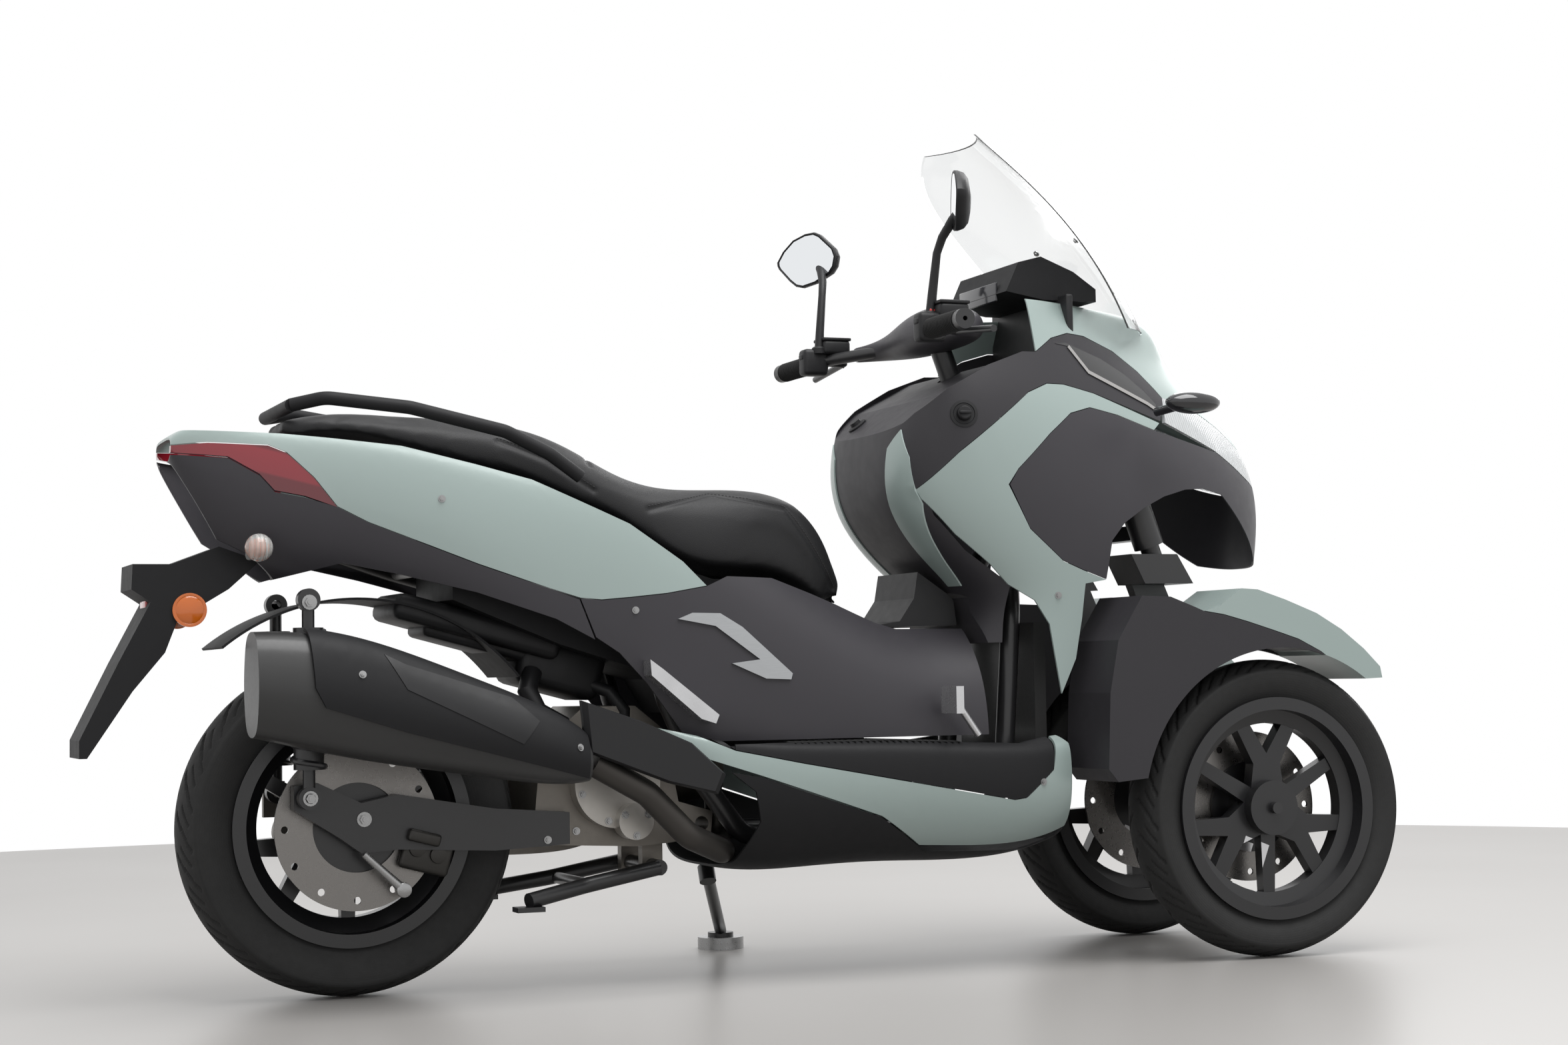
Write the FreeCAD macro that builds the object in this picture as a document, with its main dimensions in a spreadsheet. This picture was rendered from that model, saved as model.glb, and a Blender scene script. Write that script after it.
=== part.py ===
import FreeCAD, Part
import math
import os

import Sketcher
from FreeCAD import Vector

# A three-wheeled tilting scooter: two steered wheels in front, one driven wheel behind.
# Lengths are in millimetres. While it is modelled, X runs forward from the rear axle,
# Y to the rider's left and Z up from the ground; every piece is then moved back by
# frame_origin so that the origin lies under the middle of the whole machine.

SIZES = [
    ("wheelbase", 1595, "rear axle to front axles"),
    ("front_track", 470, "between the front tyres' middles"),
    ("frame_origin", 712.4, "from the rear axle forward to the part's origin"),
    ("rear_tyre_radius", 275.8, "140/70-14"),
    ("rear_tyre_width", 140, ""),
    ("front_tyre_radius", 261.8, "120/70-14"),
    ("front_tyre_width", 120, ""),
    ("rim_flange_radius", 195, "outer edge of the rim flanges"),
    ("rim_bead_radius", 178, "where the tyre sits"),
    ("rim_wall", 9, "thickness of the rim well"),
    ("spoke_count", 3, "lobes of the wheel's star"),
    ("spoke_width", 34, "each arm of a spoke"),
    ("spoke_thickness", 26, "along the axle"),
    ("hub_radius", 48, ""),
    ("disc_radius", 133.5, "brake disc"),
    ("disc_inner_radius", 72, ""),
    ("disc_thickness", 5, ""),
    ("carrier_thickness", 8, "flange of the hub that a disc is bolted to"),
    ("carrier_lap", 9, "how far the flange reaches over the disc's ring"),
    ("rear_disc_offset", 80, "middle of the rear disc from the wheel's middle"),
    ("front_disc_offset", 52, "middle of a front disc from the wheel's middle"),
    ("axle_radius", 10, ""),
    ("steering_rake", 20.5, "degrees from upright"),
    ("kingpin_setback", 19, "kingpin axis behind the front axle at axle height"),
    ("kingpin_half_track", 188, "kingpin axes from the middle"),
    ("kingpin_radius", 17, ""),
    ("kingpin_housing_radius", 27, ""),
    ("yoke_top", 712, "top of a fork's yoke"),
    ("yoke_height", 52, ""),
    ("kingpin_housing_top", 836, ""),
    ("running_gap", 6, "least gap beside what turns"),
    ("seat_gap", 0.3, "between faces that only meet"),
    ("panel_wall", 4, "moulded body panels"),
    ("panel_gap", 1.5, "joint line between two panels"),
    ("bar_half_width", 407, "middle to a grip's end"),
    ("bar_radius", 11, ""),
    ("grip_radius", 17, ""),
    ("bar_end_hole_radius", 4, "M8 thread for a bar-end weight"),
    ("bar_end_hole_depth", 30, ""),
    ("grip_length", 125, ""),
    ("bar_end_height", 1090, "grips above the ground"),
    ("bar_setback", 652, "grips behind the front axle"),
    ("column_setback", 505, "steering column behind the front axle at bar height"),
    ("column_radius", 19, ""),
    ("screen_wall", 4, ""),
    ("screen_top", 1466, ""),
    ("frame_tube_radius", 17, ""),
    ("frame_half_width", 118, "lower rails from the middle"),
    ("frame_rail_height", 238, ""),
    ("floor_height", 397, "top of the footboards"),
    ("floor_inner_half_width", 192, ""),
    ("muffler_offset", 234, "muffler's middle from the middle of the wheel"),
    ("muffler_half_width", 62, ""),
    ("muffler_rear_half_height", 76, ""),
    ("muffler_front_half_height", 52, ""),
    ("exhaust_pipe_radius", 21, ""),
    ("shock_offset", 134, "rear shock absorbers from the middle"),
    ("shock_coil_radius", 24, ""),
    ("side_stand_radius", 11, ""),
    ("puck_radius", 43, "steel puck under the side stand's foot"),
    ("puck_height", 22, ""),
    ("centre_stand_reach", 238, "pivot to the feet"),
    ("centre_stand_tube_radius", 13, ""),
    ("mirror_half_width", 78, ""),
    ("mirror_half_height", 52, ""),
]


class Size:
    """A number together with the sheet's expression that gives it."""

    def __init__(self, value, text):
        self.value = float(value)
        self.text = text

    def __float__(self):
        return self.value

    def _join(self, sign, other, value, swapped=False):
        text = other.text if isinstance(other, Size) else repr(float(other))
        pair = (text, self.text) if swapped else (self.text, text)
        return Size(value, "(%s %s %s)" % (pair[0], sign, pair[1]))

    def __add__(self, other):
        return self._join("+", other, self.value + float(other))

    def __radd__(self, other):
        return self._join("+", other, float(other) + self.value, True)

    def __sub__(self, other):
        return self._join("-", other, self.value - float(other))

    def __rsub__(self, other):
        return self._join("-", other, float(other) - self.value, True)

    def __mul__(self, other):
        return self._join("*", other, self.value * float(other))

    def __rmul__(self, other):
        return self._join("*", other, float(other) * self.value, True)

    def __truediv__(self, other):
        return self._join("/", other, self.value / float(other))

    def __neg__(self):
        return Size(-self.value, "(-%s)" % self.text)


class Sizes:
    """The sheet's sizes, one attribute each."""


doc = FreeCAD.newDocument("scooter")
sheet = doc.addObject("Spreadsheet::Sheet", "sizes")
S = Sizes()
parts = []


def fill_sheet():
    for row, (name, value, note) in enumerate(SIZES, start=1):
        sheet.set("A%d" % row, name)
        sheet.set("B%d" % row, str(value))
        sheet.set("C%d" % row, note)
        sheet.setAlias("B%d" % row, name)
    doc.recompute()
    for name, _value, _note in SIZES:
        setattr(S, name, Size(sheet.get(name), "<<sizes>>.%s" % name))


def bind(obj, prop, amount):
    """Tie one property to the sheet, or set it where it is a plain number."""
    if isinstance(amount, Size):
        obj.setExpression(prop, amount.text)
    else:
        obj.setExpression(prop, repr(float(amount)))


def finish(obj, label, x=0.0, y=0.0, z=0.0):
    """Name a sub-part and move it from the modelling frame to the part's origin."""
    obj.Label = label
    bind(obj, "Placement.Base.x", x - S.frame_origin)
    bind(obj, "Placement.Base.y", y)
    bind(obj, "Placement.Base.z", z)
    parts.append(obj)
    return obj


def sub_part(label, shapes, x=0.0, y=0.0, z=0.0):
    """A sub-part whose shape is worked out here; a list stays as separate solids."""
    obj = doc.addObject("Part::Feature", label)
    obj.Shape = Part.makeCompound(shapes) if isinstance(shapes, list) else shapes
    return finish(obj, label, x, y, z)


def front(x):
    """A place given from the front axle."""
    return float(S.wheelbase) + x


def mirror_y(shape):
    return shape.mirror(Vector(0, 0, 0), Vector(0, 1, 0))


def both_sides(shape):
    return [shape, mirror_y(shape)]


def solid_of(shape):
    """The largest solid of a boolean's result."""
    return max(shape.Solids, key=lambda piece: piece.Volume)


def polygon_xz(points, y):
    return Part.makePolygon([Vector(float(x), y, float(z)) for x, z in points + points[:1]])


def prism(points, y_low, y_high):
    """A side-view outline given thickness across the machine."""
    y_low = float(y_low)
    face = Part.Face(polygon_xz(points, y_low))
    return face.extrude(Vector(0, float(y_high) - y_low, 0))


def smooth_prism(points, y_low, y_high):
    """The same, with a soft closed curve drawn inside the points."""
    curve = Part.BSplineCurve()
    curve.buildFromPoles([Vector(float(x), float(y_low), float(z)) for x, z in points], True, 3)
    face = Part.Face(Part.Wire(curve.toShape()))
    return face.extrude(Vector(0, float(y_high) - float(y_low), 0))


def block(x, y, z, low_x, low_y, low_z):
    return Part.makeBox(float(x), float(y), float(z), Vector(float(low_x), float(low_y), float(low_z)))


def rod(start, end, radius):
    """A straight round bar from one point to another."""
    start = Vector(*[float(v) for v in start])
    run = Vector(*[float(v) for v in end]) - start
    return Part.makeCylinder(float(radius), run.Length, start, run)


def cross_rod(x, z, radius, y_low, y_high):
    return rod((x, y_low, z), (x, y_high, z), radius)


def tube(points, radius, bend, wall=None):
    """A bent tube: straight runs joined by tangent arcs of one bend radius."""
    points = [Vector(*[float(v) for v in point]) for point in points]
    edges = []
    start = points[0]
    for before, corner, after in zip(points, points[1:], points[2:]):
        along = (corner - before).normalize()
        onward = (after - corner).normalize()
        half_turn = along.getAngle(onward) / 2
        back = min(float(bend) * math.tan(half_turn), 0.45 * (corner - before).Length,
                   0.45 * (after - corner).Length)
        first = corner - along * back
        last = corner + onward * back
        inward = (onward - along).normalize()
        sag = back / math.tan(half_turn) * (1 / math.cos(half_turn) - 1)
        edges.append(Part.LineSegment(start, first).toShape())
        edges.append(Part.Arc(first, corner + inward * sag, last).toShape())
        start = last
    edges.append(Part.LineSegment(start, points[-1]).toShape())
    path = Part.Wire(edges)
    heading = points[1] - points[0]
    profile = Part.Wire(Part.Circle(points[0], heading, float(radius)).toShape())
    solid = path.makePipeShell([profile], True, False)
    if wall is None:
        return solid
    hole = Part.Wire(Part.Circle(points[0], heading, float(radius) - float(wall)).toShape())
    return solid.cut(path.makePipeShell([hole], True, False))


def closed_curve(poles):
    curve = Part.BSplineCurve()
    curve.buildFromPoles(poles, True, 3)
    return Part.Wire(curve.toShape())


def loft(wires):
    return Part.makeLoft(wires, True, False)


def upright_section(x, top, top_half, mid, mid_half, low, low_half, inset=0.0):
    """A rounded closed section across the machine, the same on both sides."""
    tall = (top - low) / 4
    side = [(0, top - inset), (top_half - inset, top - inset),
            (mid_half - inset, mid + tall), (mid_half - inset, mid - tall),
            (low_half - inset, low + inset), (0, low + inset)]
    other = [(-y, z) for y, z in side[-2:0:-1]]
    return closed_curve([Vector(float(x), y, z) for y, z in side + other])


def level_section(z, rear, rear_half, side, side_half, fore, fore_half, nose, inset=0.0):
    """A rounded closed section at one height, from the knees to the nose."""
    near = [(nose - inset, 0), (nose - inset, fore_half / 3), (fore, fore_half - inset),
            (side, side_half - inset), (rear, rear_half - inset), (rear - 25, rear_half / 2),
            (rear - 25, 0)]
    other = [(x, -y) for x, y in near[-2:0:-1]]
    return closed_curve([Vector(x, y, float(z)) for x, y in near + other])


def origin_feature(body, role):
    return next(item for item in body.Origin.OriginFeatures if item.Role == role)


def sketch_on(body, role, name, offset=None):
    sketch = body.newObject("Sketcher::SketchObject", name)
    sketch.AttachmentSupport = [(origin_feature(body, role), "")]
    sketch.MapMode = "FlatFace"
    if offset is not None:
        bind(sketch, "AttachmentOffset.Base.z", offset)
    return sketch


def hold(sketch, kind, edge, end, amount):
    """Place one end of an edge from the sketch's origin, tied to the sheet where it can be."""
    index = sketch.addConstraint(Sketcher.Constraint(kind, -1, 1, edge, end, float(amount)))
    if isinstance(amount, Size):
        sketch.setExpression("Constraints[%d]" % index, amount.text)


def draw_outline(sketch, points):
    """A closed outline of straight edges with every corner dimensioned."""
    first = sketch.GeometryCount
    corners = [Vector(float(x), float(y), 0) for x, y in points]
    for start, end in zip(corners, corners[1:] + corners[:1]):
        sketch.addGeometry(Part.LineSegment(start, end), False)
    count = len(points)
    for number, (x, y) in enumerate(points):
        edge = first + number
        following = first + (number + 1) % count
        sketch.addConstraint(Sketcher.Constraint("Coincident", edge, 2, following, 1))
        hold(sketch, "DistanceX", edge, 1, x)
        hold(sketch, "DistanceY", edge, 1, y)


def draw_circle(sketch, radius, x=0.0, y=0.0):
    edge = sketch.addGeometry(Part.Circle(Vector(float(x), float(y), 0), Vector(0, 0, 1),
                                          float(radius)), False)
    hold(sketch, "DistanceX", edge, 3, x)
    hold(sketch, "DistanceY", edge, 3, y)
    index = sketch.addConstraint(Sketcher.Constraint("Radius", edge, float(radius)))
    if isinstance(radius, Size):
        sketch.setExpression("Constraints[%d]" % index, radius.text)


def pad(body, sketch, length, midplane=True):
    feature = body.newObject("PartDesign::Pad", "Pad")
    feature.Profile = sketch
    feature.SideType = "Symmetric" if midplane else "One side"
    bind(feature, "Length", length)
    return feature


def pocket_through(body, sketch):
    feature = body.newObject("PartDesign::Pocket", "Pocket")
    feature.Profile = sketch
    feature.SideType = "Symmetric"
    feature.Type = "ThroughAll"
    return feature


def revolution(body, sketch, axis="V_Axis"):
    feature = body.newObject("PartDesign::Revolution", "Revolution")
    feature.Profile = sketch
    feature.ReferenceAxis = (sketch, [axis])
    feature.Angle = 360
    return feature


def polar_pattern(body, features, sketch, copies):
    pattern = body.newObject("PartDesign::PolarPattern", "PolarPattern")
    pattern.Originals = features
    pattern.Axis = (sketch, ["N_Axis"])
    pattern.Angle = 360
    bind(pattern, "Occurrences", copies)
    body.Tip = pattern
    return pattern


def tyre(label, radius, width, rim_half, x, y):
    """A road tyre: round crown, bulging walls and beads between the rim's flanges."""
    radius, width, rim_half = float(radius), float(width), float(rim_half)
    bead = float(S.rim_bead_radius) + 5 + float(S.seat_gap)
    flange = float(S.rim_flange_radius)
    bead_half = rim_half - 14
    points = [(bead, -bead_half), (flange + 4, -rim_half + 6), ((flange + radius) / 2 - 4, -width / 2),
              (radius - 20, -width / 2 + 7), (radius, 0), (radius - 20, width / 2 - 7),
              ((flange + radius) / 2 - 4, width / 2), (flange + 4, rim_half - 6), (bead, bead_half)]
    ends = [Vector(r, offset, 0) for r, offset in points]
    edges = [Part.LineSegment(ends[0], ends[1]).toShape(),
             Part.Arc(ends[1], ends[2], ends[3]).toShape(),
             Part.Arc(ends[3], ends[4], ends[5]).toShape(),
             Part.Arc(ends[5], ends[6], ends[7]).toShape(),
             Part.LineSegment(ends[7], ends[8]).toShape(),
             Part.LineSegment(ends[8], ends[0]).toShape()]
    ring = Part.Face(Part.Wire(edges)).revolve(Vector(0, 0, 0), Vector(0, 1, 0), 360)
    return sub_part(label, ring, x, y, radius_of(label))


def radius_of(label):
    """Height of a wheel's axle."""
    return S.rear_tyre_radius if "rear" in label else S.front_tyre_radius


def rim(label, half_width, x, y, disc_side, disc_offset):
    """A cast wheel: well, hub, forked and plain spokes, the disc's carrier and a bore for the axle."""
    body = doc.addObject("PartDesign::Body", label)
    flange = S.rim_flange_radius
    bead = S.rim_bead_radius + 4
    well = S.rim_bead_radius - 20
    wall = S.rim_wall
    profile = sketch_on(body, "XY_Plane", "RimSection")
    draw_outline(profile, [
        (flange, -half_width), (flange, 8 - half_width), (bead, 12 - half_width), (bead, 32 - half_width),
        (well, -12.0), (well, 12.0), (bead, half_width - 32), (bead, half_width - 12),
        (flange, half_width - 8), (flange, half_width), (bead - wall, half_width),
        (bead - wall, half_width - 30), (well - wall, 14.0), (well - wall, -14.0),
        (bead - wall, 30 - half_width), (bead - wall, -half_width)])
    revolution(body, profile)
    hub = sketch_on(body, "XZ_Plane", "Hub")
    draw_circle(hub, S.hub_radius)
    hub_half = half_width - 15
    pad(body, hub, 2 * hub_half)
    disc_face = disc_offset - S.disc_thickness / 2
    neck = sketch_on(body, "XZ_Plane", "Neck", (hub_half + disc_face) / 2 * -disc_side)
    draw_circle(neck, S.hub_radius)
    pad(body, neck, disc_face - hub_half)
    carrier = sketch_on(body, "XZ_Plane", "Carrier", (disc_face - S.carrier_thickness / 2) * -disc_side)
    draw_circle(carrier, S.disc_inner_radius + S.carrier_lap)
    pad(body, carrier, S.carrier_thickness)
    reach = well - wall + 5
    arm = sketch_on(body, "XZ_Plane", "ForkedSpoke")
    wide = S.spoke_width
    draw_outline(arm, [(-wide, 30.0), (wide, 30.0), (wide * 0.8, reach * 0.5), (wide * 1.9, reach * 0.97),
                       (wide * 1.1, reach), (0.0, reach * 0.62), (-wide * 1.1, reach),
                       (-wide * 1.9, reach * 0.97), (-wide * 0.8, reach * 0.5)])
    forked = pad(body, arm, S.spoke_thickness)
    polar_pattern(body, [forked], arm, S.spoke_count)
    plain = sketch_on(body, "XZ_Plane", "PlainSpoke")
    draw_outline(plain, [(-wide * 0.45, -30.0), (wide * 0.45, -30.0), (wide * 0.33, -reach),
                         (-wide * 0.33, -reach)])
    single = pad(body, plain, S.spoke_thickness - 4)
    polar_pattern(body, [single], plain, S.spoke_count)
    bore = sketch_on(body, "XZ_Plane", "Bore")
    draw_circle(bore, S.axle_radius + 0.05)
    body.Tip = pocket_through(body, bore)
    return finish(body, label, x, y, radius_of(label))


def disc(label, x, y, offset):
    """A brake disc with a ring of holes."""
    body = doc.addObject("PartDesign::Body", label)
    ring = sketch_on(body, "XZ_Plane", "Ring")
    draw_circle(ring, S.disc_radius)
    draw_circle(ring, S.disc_inner_radius)
    pad(body, ring, S.disc_thickness)
    hole = sketch_on(body, "XZ_Plane", "Drilling")
    middle = (S.disc_radius + S.disc_inner_radius) / 2 + 14
    draw_circle(hole, 6.0, 0.0, middle)
    drilling = pocket_through(body, hole)
    polar_pattern(body, [drilling], hole, 12.0)
    return finish(body, label, x, y + offset, radius_of(label))


def wheels():
    rear_half = Size(57, "57")
    front_half = Size(50, "50")
    tyre("rear_tyre", S.rear_tyre_radius, S.rear_tyre_width, rear_half, 0.0, 0.0)
    rim("rear_rim", rear_half, 0.0, 0.0, -1, S.rear_disc_offset)
    disc("rear_brake_disc", 0.0, 0.0, -S.rear_disc_offset)
    for side, word in ((1, "left"), (-1, "right")):
        y = S.front_track / 2 * side
        tyre("front_tyre_" + word, S.front_tyre_radius, S.front_tyre_width, front_half, S.wheelbase, y)
        rim("front_rim_" + word, front_half, S.wheelbase, y, -side, S.front_disc_offset)
        disc("front_brake_disc_" + word, S.wheelbase, y, S.front_disc_offset * -side)


REAR_STATIONS = [
    (-293, 903, 60, 884, 80, 858, 50),
    (-180, 925, 92, 860, 130, 690, 90),
    (-40, 925, 115, 835, 158, 650, 120),
    (120, 905, 135, 790, 176, 600, 140),
    (280, 870, 145, 740, 190, 500, 165),
    (420, 835, 155, 690, 200, 400, 185),
    (560, 780, 150, 600, 205, 340, 198),
    (700, 720, 130, 520, 205, 332, 200),
]
MIDDLE_STATIONS = [
    (-745, 650, 105, 460, 202, 332, 200),
    (-615, 612, 95, 430, 198, 332, 198),
    (-495, 602, 100, 430, 196, 332, 196),
]


def rear_hull(inset):
    """The rounded bulk of the tail and the tunnel, from which the covers are cut."""
    stations = REAR_STATIONS + [(front(x), *rest) for x, *rest in MIDDLE_STATIONS]
    return loft([upright_section(*station, inset=inset) for station in stations])


FRONT_LEVELS = [
    (455, -470, 190, -370, 232, -120, 215, 30),
    (600, -500, 196, -350, 238, -60, 222, 95),
    (700, -560, 205, -345, 246, -35, 224, 108),
    (800, -635, 214, -360, 252, -35, 212, 120),
    (900, -645, 222, -390, 250, -75, 185, 100),
    (1000, -620, 216, -410, 236, -150, 156, 15),
    (1080, -575, 202, -415, 212, -210, 125, -55),
    (1165, -515, 172, -415, 176, -260, 92, -180),
]


def front_hull(inset):
    """The rounded bulk of the front cowl, from which its panels are cut."""
    wires = []
    for z, rear, rear_half, side, side_half, fore, fore_half, nose in FRONT_LEVELS:
        wires.append(level_section(z, front(rear), rear_half, front(side), side_half,
                                   front(fore), fore_half, front(nose), inset))
    return loft(wires)


SEAT_LINE = [(-125, 905), (-60, 899), (60, 887), (180, 858), (270, 834), (350, 798), (430, 762),
             (520, 700), (600, 676), (690, 674), (770, 648), (820, 630), (868, 626)]
SEAT_CROWN = [(-125, 928, 64), (-60, 940, 104), (60, 940, 130), (180, 934, 146), (270, 922, 152),
              (350, 894, 156), (430, 852, 160), (520, 827, 168), (600, 825, 170), (690, 823, 160),
              (770, 797, 136), (820, 752, 108), (868, 668, 76)]
TAIL_LOW_EDGE = [(560, 659), (490, 647), (430, 641), (380, 637), (345, 640), (294, 656), (179, 696),
                 (91, 730), (5, 763), (-44, 788)]
TAIL_REAR_EDGE = [(-44, 788), (-80, 834), (-122, 874), (-150, 886), (-240, 891), (-296, 888)]
TRIM_EDGE = [(-129, 672), (-32, 697), (54, 680), (179, 650), (306, 606), (371, 574), (410, 548),
             (456, 498), (495, 446), (530, 405)]


def raised(points, up):
    return [(x, z + float(up)) for x, z in points]


def rear_covers():
    """Tail covers, side covers, tunnel, tail underside and the bucket under the seat."""
    wall = float(S.panel_wall)
    gap = float(S.panel_gap)
    outer = rear_hull(0.0)
    inner = rear_hull(wall)
    shell = outer.cut(inner)
    below_seat = raised(SEAT_LINE, -1 - float(S.seat_gap))
    tail = TAIL_LOW_EDGE + TAIL_REAR_EDGE[1:] + [(-300, 912), (-130, 904)] + below_seat[1:8]
    tail_cover = solid_of(shell.common(prism(tail, 0, 260)))
    sub_part("tail_covers", both_sides(tail_cover))
    knee = [(front(-700), 597), (front(-658), 586), (front(-524), 586), (front(-520), 402), (530, 402)]
    side = raised(TAIL_LOW_EDGE[:5], -gap)[::-1] + below_seat[8:12] + knee + raised(TRIM_EDGE[5:9], gap)[::-1]
    side_cover = solid_of(shell.common(prism(side, 100, 260)))
    sub_part("side_covers", both_sides(side_cover))


def seat():
    """The dual seat, hinged at its front edge."""
    wires = []
    for (x, low), (_x, top, half) in zip(SEAT_LINE, SEAT_CROWN):
        low = low + float(S.seat_gap)
        tall = top - low
        side = [(0, top), (half * 0.8, top), (half, top - tall * 0.3), (half, low + tall * 0.1),
                (half * 0.9, low), (0, low)]
        other = [(-y, z) for y, z in side[-2:0:-1]]
        wires.append(closed_curve([Vector(x, y, z) for y, z in side + other]))
    hinge = cross_rod(866, 622, 6, -40, 40)
    sub_part("seat", loft(wires).fuse(hinge))



LAMP_LOW_EDGE = [(-44, 788), (-94, 803), (-140, 812), (-163, 838), (-210, 866), (-296, 874)]
TAIL_UNDER_EDGE = [(-296, 868), (-256, 800), (-221, 739), (-172, 713), (-129, 675), (-32, 699), (54, 681),
                   (179, 650), (306, 606), (369, 572)]


def tail_pieces():
    """Tail lamp, the dark underside of the tail, the grab rails and the plate holder."""
    wall = float(S.panel_wall)
    gap = float(S.panel_gap)
    lamp_outline = raised(TAIL_REAR_EDGE, -gap) + [(-300, 876), (-296, 876)] + raised(LAMP_LOW_EDGE[-2:0:-1], gap)
    thick = rear_hull(1.0).cut(rear_hull(14.0))
    sub_part("tail_lamp", both_sides(solid_of(thick.common(prism(lamp_outline, 0, 260)))))
    under = [(343, 637)] + raised(TAIL_LOW_EDGE[5:], -gap) + raised(LAMP_LOW_EDGE[1:], -gap) + TAIL_UNDER_EDGE
    shell = rear_hull(0.0).cut(rear_hull(wall))
    sub_part("tail_lower_cover", both_sides(solid_of(shell.common(prism(under, 0, 260)))))
    rails = []
    rail = [(-108, 112, 952), (-60, 140, 962), (70, 172, 946), (225, 180, 910), (300, 180, 874), (352, 176, 838)]
    rails.append(tube(rail, 11, 60))
    rails.append(mirror_y(rails[0]))
    rails.append(rod((-108, -112, 952), (-108, 112, 952), 11))
    sub_part("grab_rails", rails[0].fuse(rails[1:]))
    holder = [(-150, 705), (-215, 728), (-290, 700), (-350, 700), (-352, 660), (-322, 640), (-372, 545),
              (-432, 424), (-432, 396), (-420, 396), (-350, 500), (-300, 560), (-280, 612), (-200, 660)]
    sub_part("licence_holder", prism(holder, -62, 62))
    signals = Part.makeSphere(22, Vector(-168, 150, 722))
    signals = signals.fuse(rod((-170, 66, 712), (-168, 140, 720), 9)).cut(rear_hull(-float(S.seat_gap)))
    sub_part("rear_signals", both_sides(solid_of(signals)))


def storage_tub():
    """The luggage bucket under the seat, open at the top."""
    half = 122.0
    floor_line = [(150, 640), (330, 566), (520, 506), (556, 448), (764, 448), (806, 606)]
    rim_line = raised(SEAT_LINE, -3)[3:11]
    outer = prism(floor_line + [(815, 622)] + rim_line[::-1] + [(150, 862)], -half, half)
    inner_line = [(158, 648), (333, 574), (524, 513), (561, 454), (760, 454), (800, 610)]
    inner = prism(inner_line + [(809, 640), (800, 900), (158, 900)], 4 - half, half - 4)
    sub_part("storage_tub", outer.cut(inner))


LOWER_STATIONS = [
    (466, 440, 190, 412, 214, 340, 180),
    (600, 404, 230, 350, 244, 190, 190),
    (800, 402, 240, 330, 254, 182, 186),
]
LOWER_FRONT_STATIONS = [
    (-595, 398, 242, 320, 256, 182, 186),
    (-475, 398, 240, 312, 254, 186, 182),
    (-384, 412, 222, 314, 240, 208, 168),
]
SKIRT_TOP_EDGE = [(466, 428), (530, 414), (592, 388), (709, 364), (1095, 292), (1118, 295), (1172, 341), (1188, 410)]
SKIRT_LOW_EDGE = [(466, 408), (533, 377), (637, 343), (852, 270), (952, 206), (1150, 203), (1188, 219), (1212, 240)]


def lower_hull(inset):
    stations = LOWER_STATIONS + [(front(x), *rest) for x, *rest in LOWER_FRONT_STATIONS]
    return loft([upright_section(*station, inset=inset) for station in stations])


def footwell():
    """Footboards, their skirts and the belly pan, cut from one rounded hull."""
    wall = float(S.panel_wall)
    gap = float(S.panel_gap)
    floor_top = float(S.floor_height)
    shell = lower_hull(0.0).cut(lower_hull(wall))
    skirt = raised(SKIRT_TOP_EDGE, -gap) + [(1215, 380)] + raised(SKIRT_LOW_EDGE, gap)[::-1]
    sub_part("side_skirts", both_sides(solid_of(shell.common(prism(skirt, 205, 300)))))
    side_top = [(592, floor_top), (873, floor_top), (1120, 386), (1178, 396)]
    below = side_top + SKIRT_TOP_EDGE[-2:1:-1]
    side_wall = solid_of(shell.common(prism(below, 205, 300)))
    inner = float(S.floor_inner_half_width)
    board = [(585, floor_top - 4), (873, floor_top - 4), (1120, 382), (1120, 372), (873, 384), (620, 384),
             (592, 389)]
    heel = [(476, 444), (536, 432), (586, floor_top - 4), (593, 389), (580, 391), (532, 421), (476, 434)]
    flat = prism(board, inner - 20, 252).common(lower_hull(wall / 2))
    rise = prism(heel, inner + 16, 252).common(lower_hull(wall + 0.5))
    sub_part("footboards", both_sides(solid_of(side_wall.fuse([flat, rise]))))
    pan = [(606, 150), (618, 220), (638, 269), (626, 319), (584, 352)] + raised(SKIRT_LOW_EDGE, -gap)[2:]
    pan += [(1218, 150)]
    belly = solid_of(shell.common(prism(pan, -300, 300)))
    sub_part("belly_pan", belly)


BOOMERANG_TOP = [(955, 824), (1018, 886), (1083, 938), (1150, 992), (1190, 1009), (1225, 1009), (1290, 996), (1436, 949)]
ARCH_TOP = [(1107, 831), (1122, 857), (1185, 919), (1232, 957), (1276, 969), (1337, 958), (1418, 934)]
ARCH_REAR = [(1290, 668), (1246, 684), (1208, 700), (1145, 756), (1107, 831)]
BOOMERANG_TIP = [(1250, 660), (1244, 600), (1232, 530), (1206, 470), (1196, 530), (1186, 590), (1160, 632), (1115, 660),
                 (1082, 695), (1020, 747), (964, 808)]
ARCH_EDGE = [(1671, 705), (1560, 822), (1514, 831), (1467, 828), (1415, 814), (1369, 793), (1327, 766), (1301, 735)]
NOSE_EDGE = [(1178, 1068), (1218, 1095), (1262, 1108), (1305, 1106), (1371, 1083), (1422, 1048), (1452, 1017), (1466, 1000)]
BEAK_TOP = [(1436, 949), (1573, 903), (1650, 860), (1720, 830)]
LAMP_TOP = [(1466, 1000), (1540, 985), (1612, 950), (1665, 912)]


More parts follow.
